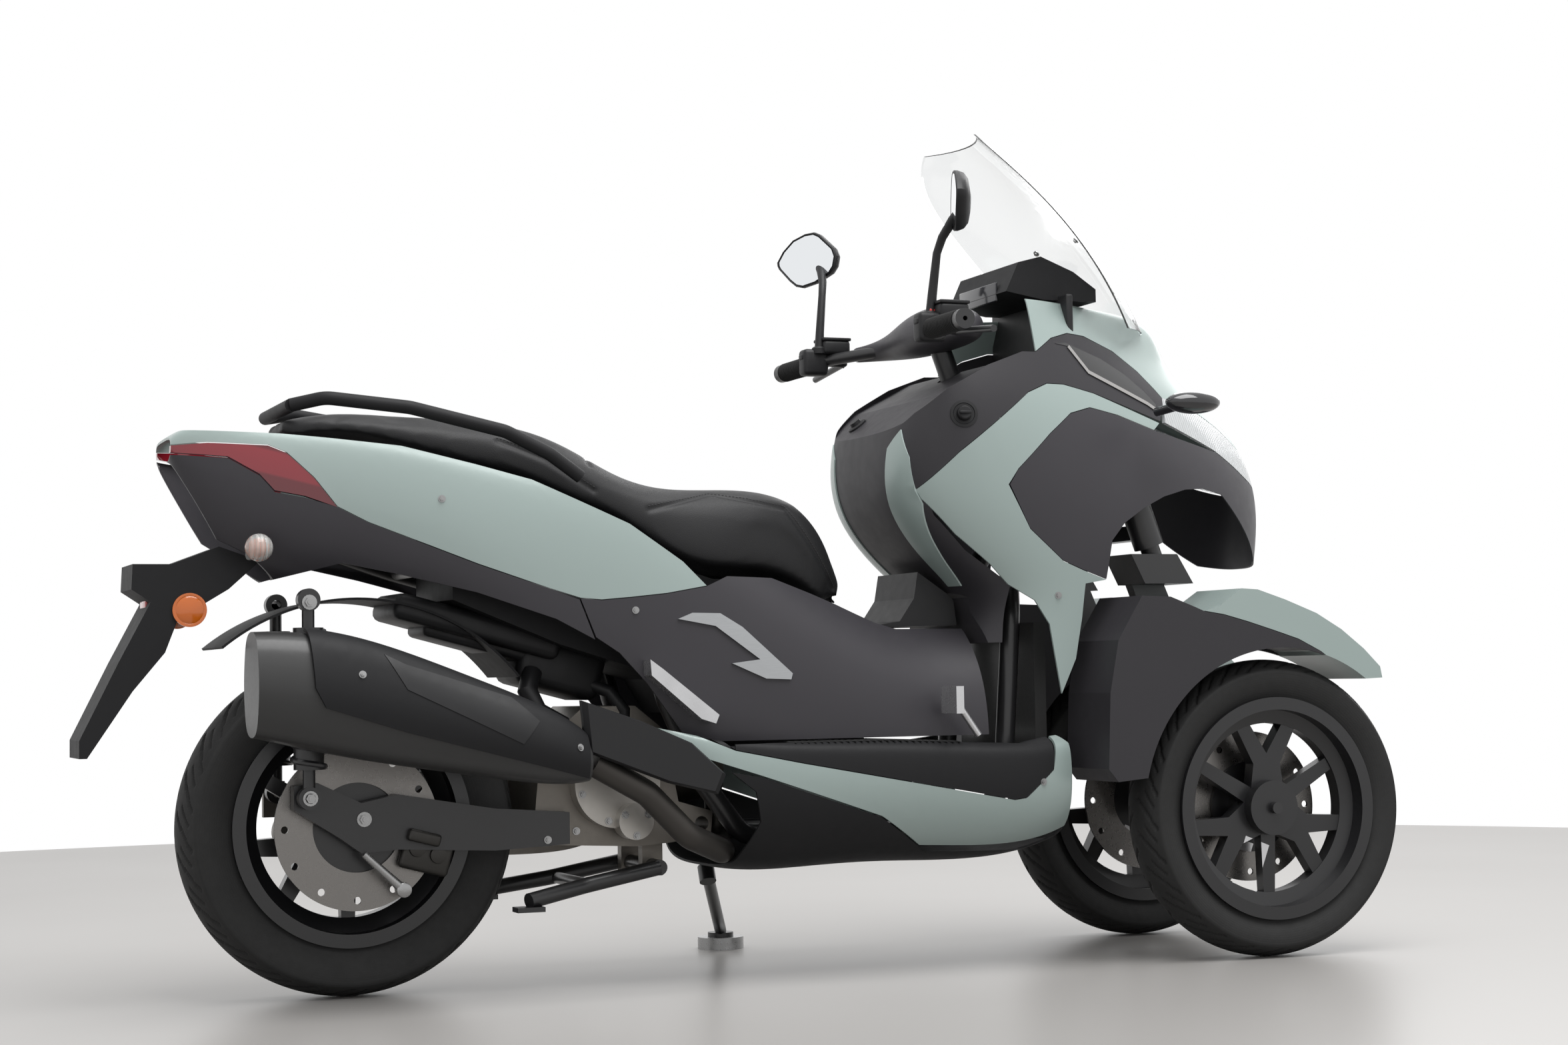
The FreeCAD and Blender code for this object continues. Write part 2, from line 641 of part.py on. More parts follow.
def cowl_panels():
    """Front panels: painted side arms, dark wheel arches, nose, upper panels and headlamps."""
    wall = float(S.panel_wall)
    gap = float(S.panel_gap)
    outer = front_hull(0.0)
    inner = front_hull(wall)

    def panel(outline, y_low=0):
        return solid_of(outer.common(prism(outline, y_low, 300)).cut(inner))

    painted = BOOMERANG_TOP + raised(ARCH_TOP, gap)[:0:-1] + [(1104, 831)] + raised(ARCH_REAR, -gap)[-2::-1]
    painted += BOOMERANG_TIP
    sub_part("front_side_panels", both_sides(panel(painted, 60)))
    arch = ARCH_TOP + raised(BEAK_TOP, -gap)[1:] + [(1730, 780), (1720, 690)] + ARCH_EDGE + ARCH_REAR[:-1]
    sub_part("wheel_arch_panels", both_sides(panel(arch)))
    upper = [(912, 902), (957, 957), (1006, 998), (1080, 1040), (1150, 1066)] + raised(NOSE_EDGE, -gap)
    upper += [(1440, 953)] + raised(BOOMERANG_TOP, gap)[-2::-1] + [(925, 838)]
    sub_part("upper_panels", both_sides(panel(upper, 60)))
    nose = NOSE_EDGE + raised(LAMP_TOP, gap)[1:] + [(1700, 930), (1600, 1200), (1178, 1200)]
    sub_part("nose_cowl", panel(nose, -300))
    lamp = [(1452, 951)] + raised(LAMP_TOP, 0) + [(1720, 905), (1720, 832)] + raised(BEAK_TOP, gap)[-2:0:-1]
    thick = outer.common(prism(lamp, 16, 300)).cut(front_hull(12.0))
    sub_part("headlamps", both_sides(solid_of(thick)))


def leg_shield():
    """The rider's side of the front cowl."""
    profile = [(1120, 1050), (1005, 990), (930, 930), (905, 880), (903, 835), (930, 770), (985, 700), (1075, 640),
               (1090, 560), (1110, 560), (1120, 660), (1040, 720), (985, 780), (960, 835), (960, 880), (1000, 940),
               (1080, 1000), (1150, 1040)]
    inside = front_hull(float(S.panel_wall) + 0.5)
    opening = on_axis(column_x, 0, 900, 1200, float(S.column_radius) + float(S.running_gap))
    sub_part("leg_shield", solid_of(prism(profile, -260, 260).common(inside).cut(opening)))


def kingpin_x(z):
    """Where the kingpin axis lies at one height."""
    lean = math.tan(math.radians(float(S.steering_rake)))
    return front(-float(S.kingpin_setback)) - (z - float(S.front_tyre_radius)) * lean


def column_x(z):
    """Where the handlebar's steering axis lies at one height."""
    lean = math.tan(math.radians(float(S.steering_rake)))
    return front(-float(S.column_setback)) - (z - float(S.bar_end_height)) * lean


def on_axis(place, y, low, high, radius):
    return rod((place(low), y, low), (place(high), y, high), radius)


def frame():
    """Twin-tube frame with the head tube and the pivot that carries the tilting arms."""
    half = float(S.frame_half_width)
    rail_height = float(S.frame_rail_height)
    radius = S.frame_tube_radius
    route = [(1196, 40, 742), (1160, half, 610), (1138, half, 310), (1075, half, rail_height),
             (650, half, rail_height), (575, half + 14, 330), (505, half + 30, 470), (470, half + 32, 600),
             (100, 138, 700), (-128, 92, 770)]
    rail = tube(route, radius, 60)
    pieces = [mirror_y(rail)]
    for x, z in ((1138, 330), (1000, rail_height), (700, rail_height), (-100, 762)):
        pieces.append(cross_rod(x, z, 12, -half + 2, half - 2))
    pieces.append(cross_rod(118, 694, 12, -138, 138))
    head = on_axis(column_x, 0, 735, 950, 31)
    pieces.append(head)
    pieces.append(cross_rod(1197, 745, 20, -42, 42))
    pieces.append(rod((column_x(782), 0, 782), (kingpin_x(812) - 15 - float(S.seat_gap), 0, 782), 26))
    whole = rail.fuse(pieces)
    bore = on_axis(column_x, 0, 700, 1000, float(S.column_radius) + float(S.seat_gap))
    sub_part("frame", whole.cut(bore))


def tilt_arms():
    """The tilting linkage: cross arms and the housings that hold the two kingpins."""
    half = float(S.kingpin_half_track)
    dip = float(S.kingpin_housing_radius) * math.sin(math.radians(float(S.steering_rake)))
    low = float(S.yoke_top) + float(S.running_gap) + dip
    high = float(S.kingpin_housing_top)
    pieces = []
    for side in (1, -1):
        pieces.append(on_axis(kingpin_x, side * half, low, high, S.kingpin_housing_radius))
    for z in (752, 812):
        pieces.append(block(30, 2 * half, 26, kingpin_x(z) - 15, -half, z - 13))
    pieces.append(block(45, 60, 86, kingpin_x(812) - 15, -30, 739))
    whole = pieces[0].fuse(pieces[1:])
    for side in (1, -1):
        whole = whole.cut(on_axis(kingpin_x, side * half, low - 20, high + 20,
                                  float(S.kingpin_radius) + float(S.seat_gap)))
    sub_part("tilt_arms", whole)


def forks():
    """Each steered fork: kingpin, yoke, inner leg, axle and caliper."""
    half_track = float(S.front_track) / 2
    pin_y = float(S.kingpin_half_track)
    top = float(S.yoke_top)
    low = top - float(S.yoke_height)
    axle_x = front(0)
    axle_z = float(S.front_tyre_radius)
    inner_face = half_track - float(S.front_tyre_width) / 2 - 25
    leg_low = inner_face - 24
    pin = on_axis(kingpin_x, pin_y, low + 10, float(S.kingpin_housing_top) + 4, S.kingpin_radius)
    yoke = [(kingpin_x(low) - 55, low), (kingpin_x(top) - 62, top), (kingpin_x(top) + 30, top),
            (kingpin_x(low) + 42, low)]
    leg = [(kingpin_x(top) - 50, top - 6), (kingpin_x(top) + 25, top - 6), (1470, 620), (1560, 420), (1632, 290),
           (1632, 240), (1566, 232), (1490, 400), (kingpin_x(low) - 40, low)]
    axle = cross_rod(axle_x, axle_z, S.axle_radius, leg_low + 5, half_track + 46)
    caliper = block(52, 40, 84, axle_x - 148, inner_face + 7, axle_z - 6)
    slot = block(60, float(S.disc_thickness) + 12, 96, axle_x - 152,
                 half_track - float(S.front_disc_offset) - float(S.disc_thickness) / 2 - 6, axle_z - 12)
    bridge = block(16, 40, 84, axle_x - 156, inner_face + 7, axle_z - 6)
    arm = block(40, 20, 40, axle_x - 142, inner_face - 12, axle_z + 10)
    pieces = [prism(yoke, leg_low, pin_y + 36), prism(leg, leg_low, inner_face), axle,
              caliper.cut(slot), bridge, arm]
    fork = solid_of(pin.fuse(pieces))
    sub_part("fork_left", fork)
    sub_part("fork_right", mirror_y(fork))


FENDER_TOP_LINE = [(1440, 609), (1478, 603), (1527, 590), (1577, 575), (1628, 559), (1673, 537), (1712, 510), (1748, 486)]
FENDER_OUTLINE = [(1800, 488), (1796, 508), (1763, 540), (1717, 575), (1666, 604), (1603, 628), (1547, 646),
                  (1515, 648), (1487, 630), (1470, 618)]


def fenders():
    """Front fenders: a dark shell over each tyre and a painted cap on top."""
    half = float(S.front_tyre_width) / 2 + 16
    axle_x = front(0)
    axle_z = float(S.front_tyre_radius)
    dark = raised(FENDER_TOP_LINE, -1.2) + [(1720, 484), (1640, 484), (1560, 430), (1400, 330), (1262, 318),
                                            (1244, 340), (1250, 470), (1268, 560), (1316, 636), (1372, 634), (1420, 616)]
    clear = cross_rod(axle_x, axle_z, 286, -half + 7, half - 7)
    arch = cross_rod(axle_x, axle_z, 282, -half - 10, half + 10)
    shell = solid_of(prism(dark, -half, half).cut([clear, arch]))
    cap = solid_of(prism(FENDER_TOP_LINE[::-1] + FENDER_OUTLINE[::-1], -half, half).cut(arch))
    for word, side in (("left", 1), ("right", -1)):
        sub_part("fender_" + word, shell, y=S.front_track / 2 * side)
        sub_part("fender_cap_" + word, cap, y=S.front_track / 2 * side)


def handlebar():
    """Steering column, bars, grips, levers and switches, with the cover over the middle."""
    x = front(-float(S.bar_setback))
    z = float(S.bar_end_height)
    half = float(S.bar_half_width)
    stem = column_x(z + 22)
    route = [(x, half - 4, z), (x + 12, 270, z + 6), (stem, 120, z + 22), (stem, -120, z + 22), (x + 12, -270, z + 6),
             (x, 4 - half, z)]
    bar = tube(route, S.bar_radius, 60)
    pieces = []
    for side in (1, -1):
        pieces.append(rod((x + 10, side * (half - float(S.grip_length)), z + 1), (x, side * half, z), S.grip_radius))
        pieces.append(rod((x + 14, side * 250, z + 6), (x + 10, side * (half - 130), z + 3), 21))
        pieces.append(rod((x + 60, side * 240, z + 2), (x + 62, side * (half - 20), z - 12), 6))
        pieces.append(rod((x + 14, side * 250, z + 6), (x + 62, side * 246, z + 2), 8))
    pieces.append(on_axis(column_x, 0, 745, z + 22, S.column_radius))
    depth = float(S.bar_end_hole_depth)
    holes = [cross_rod(x, z, S.bar_end_hole_radius, half - depth, half + 5),
             cross_rod(x, z, S.bar_end_hole_radius, -half - 5, depth - half)]
    sub_part("handlebar", bar.fuse(pieces).cut(holes))
    wires = []
    for y, rear, fore, low, top in ((-205, 16, 20, -14, 16), (-110, 48, 42, -26, 42), (0, 58, 50, -30, 58),
                                    (110, 48, 42, -26, 42), (205, 16, 20, -14, 16)):
        cx = stem + (0 if abs(y) < 150 else -62)
        cz = z + (22 if abs(y) < 150 else 14)
        ring = [(cx - rear, cz + low), (cx - rear * 1.1, cz + top * 0.4), (cx - rear * 0.4, cz + top),
                (cx + fore * 0.7, cz + top), (cx + fore, cz), (cx + fore * 0.5, cz + low)]
        wires.append(closed_curve([Vector(px, y, pz) for px, pz in ring]))
    cover = loft(wires)
    cover = cover.cut([tube(route, float(S.bar_radius) + 0.3, 60),
                       on_axis(column_x, 0, 745, z + 22, float(S.column_radius) + 0.3)])
    sub_part("handlebar_cover", solid_of(cover))
    mirrors = []
    for side in (1, -1):
        stalk = rod((x + 12, side * 262, z + 38), (x + 42, side * 300, z + 170), 7)
        foot = rod((x + 12, side * 262, z + 27), (x + 12, side * 262, z + 46), 9)
        head = Part.makeSphere(1.0)
        grow = FreeCAD.Matrix(26, 0, 0, x + 40, 0, float(S.mirror_half_width), 0, side * 330,
                              0, 0, float(S.mirror_half_height), z + 215)
        mirrors.append(head.transformGeometry(grow).fuse([stalk, foot]))
    sub_part("mirrors", mirrors)


def screen_and_dash():
    """Clear windscreen, and the instrument hood behind it."""
    wall = float(S.screen_wall)
    wires = []
    for z, middle, edge, half in ((1125, -112, -190, 130), (1200, -172, -262, 182), (1290, -250, -340, 196),
                                  (1380, -345, -425, 180), (float(S.screen_top), -440, -478, 105)):
        ends = [Vector(front(edge), -half, z), Vector(front(middle), 0, z), Vector(front(edge), half, z)]
        back = [point - Vector(wall, 0, 0) for point in ends]
        wires.append(Part.Wire([Part.Arc(*ends).toShape(), Part.LineSegment(ends[2], back[2]).toShape(),
                                Part.Arc(back[2], back[1], back[0]).toShape(),
                                Part.LineSegment(back[0], ends[0]).toShape()]))
    sub_part("windscreen", solid_of(loft(wires).cut(front_hull(-float(S.seat_gap)))))
    hood = [(1165, 1185), (1190, 1238), (1235, 1250), (1300, 1225), (1345, 1195), (1345, 1172), (1240, 1172)]
    sub_part("dash", prism(hood, -118, 118))


def engine():
    """Crankcase and leaning cylinder in one block, with its right cover and the drive case."""
    half = 88.0
    case = [(292, 262), (312, 236), (470, 228), (530, 232), (602, 242), (606, 282), (545, 300), (522, 420),
            (470, 462), (380, 462), (306, 400)]
    pivot = (586, 262)
    block_shape = prism(case, -half, half)
    cylinder = rod((490, 0, 345), (636, 0, 362), 60)
    lugs = []
    for y in (-66, 46):
        lugs.append(block(36, 20, 60, 487, y, 176))
    whole = block_shape.fuse([cylinder] + lugs)
    whole = whole.cut([cross_rod(pivot[0], pivot[1], 12.3, -130, 130),
                       cross_rod(505, 192, float(S.centre_stand_tube_radius) + 0.3, -130, 130)])
    sub_part("engine_block", solid_of(whole))
    cover = cross_rod(428, 335, 74, -half - 32, -half - 0.2)
    cover = cover.fuse(cross_rod(452, 272, 30, -half - 56, -half - 20))
    sub_part("engine_cover", cover)
    drive = [(-96, 250), (-84, 292), (-30, 330), (200, 392), (400, 455), (490, 440), (520, 350), (488, 240),
             (400, 206), (200, 214), (0, 214), (-70, 226)]
    shell = smooth_prism(drive, half + 0.2, half + 80)
    shell = shell.fuse([block(36, 14, 60, -106, half + 66, 285),
                        cross_rod(-88, 327, 8, half + 20, half + 80)])
    sub_part("drive_case", solid_of(shell))


def rear_suspension():
    """Right-hand arm with the rear axle, shock absorbers and the inner fender."""
    inner = 88.3
    outer = inner + 26
    arm = [(346, 290), (346, 238), (220, 232), (60, 240), (0, 236), (-36, 262), (-108, 308), (-108, 346),
           (-70, 350), (0, 316), (60, 328), (220, 300)]
    axle = cross_rod(0, float(S.rear_tyre_radius), S.axle_radius, -outer + 4, 87.9)
    pin = cross_rod(-88, 327, 8, -outer - 34, -outer + 6)
    sub_part("rear_arm", prism(arm, -outer, -inner).fuse([axle, pin]))
    y = float(S.shock_offset)
    low_eye = (-88, y, 327)
    high_eye = (-88, y, 640)
    shock = rod(low_eye, high_eye, 10).fuse([
        rod((-88, y, 372), (-88, y, 596), S.shock_coil_radius),
        cross_rod(-88, 327, 18, y - 10, y + 10), cross_rod(-88, 640, 18, y - 10, y + 10)])
    shock = shock.cut([cross_rod(-88, 327, 8.3, y - 20, y + 20), cross_rod(-88, 640, 8.3, y - 20, y + 20)])
    sub_part("rear_shocks", both_sides(solid_of(shock)))
    ring = cross_rod(0, 300, 345, -95, 95).cut(cross_rod(0, 300, 341, -96, 96))
    wedge = prism([(0, 300), (400, 620), (200, 800), (-200, 900), (-260, 620)], -100, 100)
    sub_part("rear_inner_fender", solid_of(ring.common(wedge)))


def exhaust():
    """Exhaust pipe under the engine, the tapering silencer and its heat shield."""
    y = -float(S.muffler_offset)
    pipe = tube([(632, -36, 300), (632, -40, 222), (600, -150, 218), (515, -220, 250), (440, y, 322), (350, y, 373)],
                S.exhaust_pipe_radius, 50)
    sub_part("exhaust_pipe", pipe)
    rear = float(S.muffler_rear_half_height)
    fore = float(S.muffler_front_half_height)
    stations = [(-196, 507, rear - 4, 0.92), (-120, 497, rear + 3, 1.0), (40, 462, rear, 1.0), (180, 424, fore + 10, 1.0),
                (280, 396, fore - 4, 0.9), (338, 378, 30, 0.55)]

    def silencer(grow):
        wires = []
        for x, z, tall, share in stations:
            wide = float(S.muffler_half_width) * share + grow
            high = tall + grow
            poles = [(wide, high * 0.6), (wide * 0.7, high * 1.15), (-wide * 0.7, high * 1.15), (-wide, high * 0.6),
                     (-wide * 1.15, 0), (-wide, -high * 0.6), (-wide * 0.7, -high * 1.15), (wide * 0.7, -high * 1.15),
                     (wide, -high * 0.6), (wide * 1.15, 0)]
            wires.append(closed_curve([Vector(x, y + py, z + pz) for py, pz in poles]))
        return loft(wires)

    sub_part("muffler", silencer(0.0))
    outline = [(-118, 600), (-112, 500), (-96, 470), (30, 430), (330, 350), (330, 450), (100, 560)]
    shield = silencer(7.0).cut(silencer(2.0)).common(prism(outline, y - 100, y - 8))
    sub_part("muffler_shield", solid_of(shield))


def stands():
    """Side stand on its steel puck, and the folded centre stand."""
    puck_at = (794, 390)
    puck = Part.makeCylinder(float(S.puck_radius), float(S.puck_height), Vector(puck_at[0], puck_at[1], 0))
    sub_part("stand_puck", puck)
    pivot = (680, 152, 168)
    foot = (790, 379, float(S.puck_height) + 12)
    leg = rod(pivot, foot, S.side_stand_radius)
    pad_shape = Part.makeCylinder(24, 8, Vector(puck_at[0], puck_at[1], float(S.puck_height) + float(S.seat_gap)))
    boss = rod((678.9, 139.2, 145.4), (680.2, 154, 171.5), 15)
    sub_part("side_stand", leg.fuse([pad_shape, boss]))
    radius = S.centre_stand_tube_radius
    reach = float(S.centre_stand_reach)
    legs = [cross_rod(505, 192, radius, -105, 105)]
    for side in (1, -1):
        route = [(505, side * 98, 192), (505 - reach * 0.55, side * 104, 168), (505 - reach, side * 142, 150)]
        legs.append(tube(route, radius, 60))
        legs.append(block(46, 34, 8, 505 - reach - 23, side * 142 - 17, 133))
    legs.append(cross_rod(505 - reach * 0.5, 168, 10, -104, 104))
    sub_part("centre_stand", legs[0].fuse(legs[1:]))


def small_pieces():
    """Tunnel, trims, radiator, signals, pedal and passenger pegs."""
    ramp = [(893, 590), (960, 600), (988, 640), (996, 686), (1055, 646), (1064, 636), (1070, 592)]
    sub_part("centre_tunnel", prism(ramp, -86, 86))
    trim = [(507, 604), (532, 614), (581, 613), (620, 590), (708, 512), (705, 502), (660, 504), (600, 530), (650, 536),
            (572, 592)]
    thick = rear_hull(-4.0).cut(rear_hull(-0.3))
    sub_part("side_trims", both_sides(solid_of(thick.common(prism(trim, 100, 260)))))
    sub_part("radiator", block(22, 300, 260, 1188, -150, 335))
    signal = Part.makeSphere(1.0).transformGeometry(FreeCAD.Matrix(52, 0, 0, 1425, 0, 30, 0, 312, 0, 0, 20, 972))
    signal = signal.fuse(rod((1395, 238, 962), (1415, 300, 970), 8))
    sub_part("front_signals", both_sides(signal))
    pedal = rod((1040, -226, 402), (992, -226, 470), 6).fuse(block(14, 60, 46, 978, -272, 440))
    sub_part("brake_pedal", pedal)
    peg = prism([(448, 538), (470, 522), (566, 446), (560, 432), (535, 440), (450, 512)], 180, 236)
    peg = solid_of(peg.cut(rear_hull(-float(S.seat_gap))))
    sub_part("passenger_pegs", both_sides(peg))



def build():
    fill_sheet()
    wheels()
    rear_covers()
    tail_pieces()
    storage_tub()
    seat()
    footwell()
    cowl_panels()
    leg_shield()
    frame()
    tilt_arms()
    forks()
    fenders()
    handlebar()
    screen_and_dash()
    engine()
    rear_suspension()
    exhaust()
    stands()
    small_pieces()
    check_and_export()


def check_and_export():
    doc.recompute()
    failed = [obj.Name for obj in doc.Objects if {"Invalid", "Error"} & set(obj.State)]
    broken = [obj.Label for obj in parts if obj.Shape.isNull() or not obj.Shape.isValid()]
    if failed or broken:
        raise RuntimeError("failed: %s, not valid: %s" % (failed, broken))
    os.makedirs("parts", exist_ok=True)
    for obj in parts:
        obj.Shape.exportStep("parts/%s.step" % obj.Label)
        print("%-24s %2d solids %8.1f cm3" % (obj.Label, len(obj.Shape.Solids), obj.Shape.Volume / 1000))


build()
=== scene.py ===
import math

import bmesh
import bpy
import numpy as np
from bpy.props import FloatProperty, FloatVectorProperty, IntProperty, PointerProperty
from mathutils import Matrix, Vector
from mathutils.bvhtree import BVHTree
from mathutils.geometry import delaunay_2d_cdt


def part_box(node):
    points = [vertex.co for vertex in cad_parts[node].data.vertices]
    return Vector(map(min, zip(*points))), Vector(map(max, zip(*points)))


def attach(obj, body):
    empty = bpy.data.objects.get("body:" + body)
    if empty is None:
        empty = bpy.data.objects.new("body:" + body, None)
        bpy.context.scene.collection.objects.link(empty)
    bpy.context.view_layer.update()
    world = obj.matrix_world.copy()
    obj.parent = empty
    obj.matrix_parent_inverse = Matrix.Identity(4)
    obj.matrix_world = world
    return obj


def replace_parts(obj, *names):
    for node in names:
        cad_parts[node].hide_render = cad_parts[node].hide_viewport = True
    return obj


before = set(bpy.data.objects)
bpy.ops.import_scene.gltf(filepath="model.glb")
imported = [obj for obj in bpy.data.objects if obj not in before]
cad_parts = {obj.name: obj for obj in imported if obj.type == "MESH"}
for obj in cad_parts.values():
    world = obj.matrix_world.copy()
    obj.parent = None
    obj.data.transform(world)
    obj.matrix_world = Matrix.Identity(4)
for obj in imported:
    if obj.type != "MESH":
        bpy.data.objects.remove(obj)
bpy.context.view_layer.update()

bl_info = {
    "name": "Tilting three-wheeled scooter",
    "version": (1, 0, 0),
    "blender": (4, 5, 0),
    "location": "View3D > Sidebar > Scooter",
    "description": "Dresses the packed scooter: paint, trim, seat, tyres, lamps and controls",
    "category": "Object",
}

MM = 0.001
# Millimetres away from the machine, where lines of sight start.
FAR = 3000.0
# Where the rear axle lies along the part, read off the frame.
REAR_AXLE_X = sum(corner.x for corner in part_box("rear_tyre")) / 2


def at(x, y, z):
    """A place given in millimetres from the ground under the rear axle."""
    return Vector((REAR_AXLE_X + x * MM, y * MM, z * MM))


class Wire:
    """A shader value that Python's operators work on."""

    def __init__(self, tree, socket):
        self.tree = tree
        self.socket = socket

    def maths(self, operation, *others):
        node = self.tree.nodes.new("ShaderNodeMath")
        node.operation = operation
        for socket, value in zip(node.inputs, (self, *others)):
            if isinstance(value, Wire):
                self.tree.links.new(value.socket, socket)
            else:
                socket.default_value = value
        return Wire(self.tree, node.outputs[0])

    def __add__(self, other):
        return self.maths("ADD", other)

    def __sub__(self, other):
        return self.maths("SUBTRACT", other)

    def __mul__(self, other):
        return self.maths("MULTIPLY", other)

    def sine(self):
        return self.maths("SINE")

    def size(self):
        return self.maths("ABSOLUTE")

    def above(self, limit):
        return self.maths("GREATER_THAN", limit)

    def below(self, limit):
        return self.maths("LESS_THAN", limit)

    def held(self):
        """Kept between nothing and one."""
        return self.maths("MAXIMUM", 0.0).maths("MINIMUM", 1.0)


class Graph:
    """A node tree whose nodes are made from their type, settings and sockets."""

    def node(self, kind, settings=None, sockets=None, output=0):
        """A node: its settings first, then the values or links of its sockets."""
        node = self.tree.nodes.new(kind)
        for name, value in (settings or {}).items():
            setattr(node, name, value)
        for name, value in (sockets or {}).items():
            for single in value if isinstance(value, list) else [value]:
                if isinstance(single, Wire):
                    self.tree.links.new(single.socket, node.inputs[name])
                else:
                    node.inputs[name].default_value = single
        return Wire(self.tree, node.outputs[output])

    def vector(self, operation, first, second, output="Vector"):
        """A Vector Math node."""
        return self.node("ShaderNodeVectorMath", {"operation": operation}, {0: first, 1: second}, output)


class Finish(Graph):
    """One procedural material around a Principled shader."""

    def __init__(self, name, **fixed):
        self.material = bpy.data.materials.new(name)
        self.material.use_nodes = True
        self.tree = self.material.node_tree
        self.shader = next(node for node in self.tree.nodes if node.type == "BSDF_PRINCIPLED")
        for socket, value in fixed.items():
            self.shader.inputs[socket.replace("_", " ")].default_value = value

    def place(self, centre=(0.0, 0.0, 0.0), scale=(1.0, 1.0, 1.0)):
        """Object coordinates, centred on a point and stretched."""
        here = self.node("ShaderNodeTexCoord", output="Object")
        return self.vector("MULTIPLY", self.vector("SUBTRACT", here, centre), scale)

    def noise(self, size, detail=2.0, stretch=(1.0, 1.0, 1.0)):
        """Soft noise whose lumps are about this many metres across."""
        return self.node("ShaderNodeTexNoise", {}, {
            "Vector": self.place(scale=stretch), "Scale": 1.0 / size, "Detail": detail}, "Fac")

    def grain(self, size):
        """Cells of a moulded grain, this many metres across."""
        return self.node("ShaderNodeTexVoronoi", {"feature": "DISTANCE_TO_EDGE"}, {
            "Vector": self.place(), "Scale": 1.0 / size}, "Distance")

    def blend(self, mask, low, high):
        """One colour where the mask is nothing, the other where it is one."""
        return self.node("ShaderNodeMix", {"data_type": "RGBA"}, {
            0: mask, 6: (*low, 1.0), 7: (*high, 1.0)}, 2)

    def distance(self, centre):
        """How far from an axle along Y."""
        across = self.vector("MULTIPLY", self.place(centre), (1.0, 0.0, 1.0))
        return self.node("ShaderNodeVectorMath", {"operation": "LENGTH"}, {0: across}, "Value")

    def feed(self, socket, value):
        self.tree.links.new(value.socket, self.shader.inputs[socket])
        return self

    def rough(self, middle, spread, pattern):
        """Roughness that varies either side of its middle."""
        return self.feed("Roughness", (pattern - 0.5) * (2 * spread) + middle)

    def bump(self, height, depth):
        """Relief of this depth in metres."""
        return self.feed("Normal", self.node("ShaderNodeBump", {}, {
            "Height": height, "Distance": depth, "Strength": 1.0}))

    def shade(self, colour, share, pattern):
        """The colour, and a version of it darker by this share, mixed by the pattern."""
        darker = tuple(part * (1.0 - share) for part in colour)
        return self.feed("Base Color", self.blend(pattern, darker, tuple(colour)))


def satin_paint(name, colour):
    made = Finish(name, Metallic=0.15, Coat_Weight=0.3, Coat_Roughness=0.25)
    made.shade(colour, 0.06, made.noise(0.25))
    made.rough(0.36, 0.03, made.noise(0.004))
    return made.bump(made.noise(0.0012, 1.0), 0.00002).material


def moulded_plastic(name, colour, roughness, shine=0.35):
    made = Finish(name, Specular_IOR_Level=shine)
    made.shade(colour, 0.12, made.noise(0.12))
    made.rough(roughness, 0.06, made.noise(0.02))
    return made.bump(made.grain(0.0011), 0.00006).material


def gloss_plastic(name, colour, roughness=0.12):
    made = Finish(name, Coat_Weight=0.5, Coat_Roughness=0.05)
    made.shade(colour, 0.1, made.noise(0.1))
    return made.rough(roughness, 0.03, made.noise(0.03)).material


def rubber(name, colour):
    made = Finish(name, Specular_IOR_Level=0.35)
    made.shade(colour, 0.25, made.noise(0.03))
    made.rough(0.78, 0.08, made.noise(0.01))
    return made.bump(made.noise(0.0015, 3.0), 0.00015).material


def tyre_rubber(name, centre):
    """Rubber with faint moulded rings round the side walls."""
    made = Finish(name, Specular_IOR_Level=0.3)
    radius = made.distance(centre)
    rings = (radius * 1570.0).sine() * 0.5 + 0.5
    made.shade((0.021, 0.021, 0.021), 0.3, made.noise(0.05))
    made.rough(0.72, 0.1, made.noise(0.012))
    return made.bump(rings * 0.35 + made.noise(0.0018, 3.0), 0.00018).material


def black_metal(name, colour, roughness=0.38):
    made = Finish(name, Coat_Weight=0.25, Coat_Roughness=0.2)
    made.shade(colour, 0.2, made.noise(0.05))
    made.rough(roughness, 0.05, made.noise(0.006))
    return made.bump(made.noise(0.0016), 0.00005).material


def wheel_black(name, centre, highlit_spoke):
    """Black wheel paint with a painted highlight: one spoke's outer face made bright metal."""
    made = Finish(name, Coat_Weight=0.2, Coat_Roughness=0.2)
    here = made.place(centre)
    along = made.vector("DOT_PRODUCT", here, (math.cos(highlit_spoke), 0.0, math.sin(highlit_spoke)), "Value")
    across = made.vector("DOT_PRODUCT", here, (-math.sin(highlit_spoke), 0.0, math.cos(highlit_spoke)), "Value")
    normal = made.node("ShaderNodeNewGeometry", output="Normal")
    facing = made.vector("DOT_PRODUCT", normal, (0.0, 1.0, 0.0), "Value")
    # Painted highlight: the one spoke's sideways-facing face, between its ends and within its width.
    mask = along.above(HIGHLIGHT_FROM) * along.below(HIGHLIGHT_TO)
    mask = mask * across.size().below(HIGHLIGHT_HALF_WIDTH) * facing.size().above(0.86)
    made.feed("Base Color", made.blend(mask, (0.008, 0.008, 0.009), (0.62, 0.62, 0.63)))
    made.feed("Metallic", mask * 0.95)
    made.feed("Roughness", mask * -0.08 + 0.36)
    return made.bump(made.noise(0.0016), 0.00004).material


def cast_alloy(name, colour, roughness=0.42, depth=0.0002):
    made = Finish(name, Metallic=0.85)
    made.shade(colour, 0.2, made.noise(0.04))
    made.rough(roughness, 0.08, made.noise(0.008))
    return made.bump(made.noise(0.0014, 3.0), depth).material


def turned_steel(name, colour, centre):
    """Steel turned about an axle, with fine rings round it."""
    made = Finish(name, Metallic=0.95)
    rings = (made.distance(centre) * 9000.0).sine() * 0.5 + 0.5
    made.shade(colour, 0.12, rings)
    made.rough(0.28, 0.05, made.noise(0.01))
    return made.bump(rings, 0.00003).material


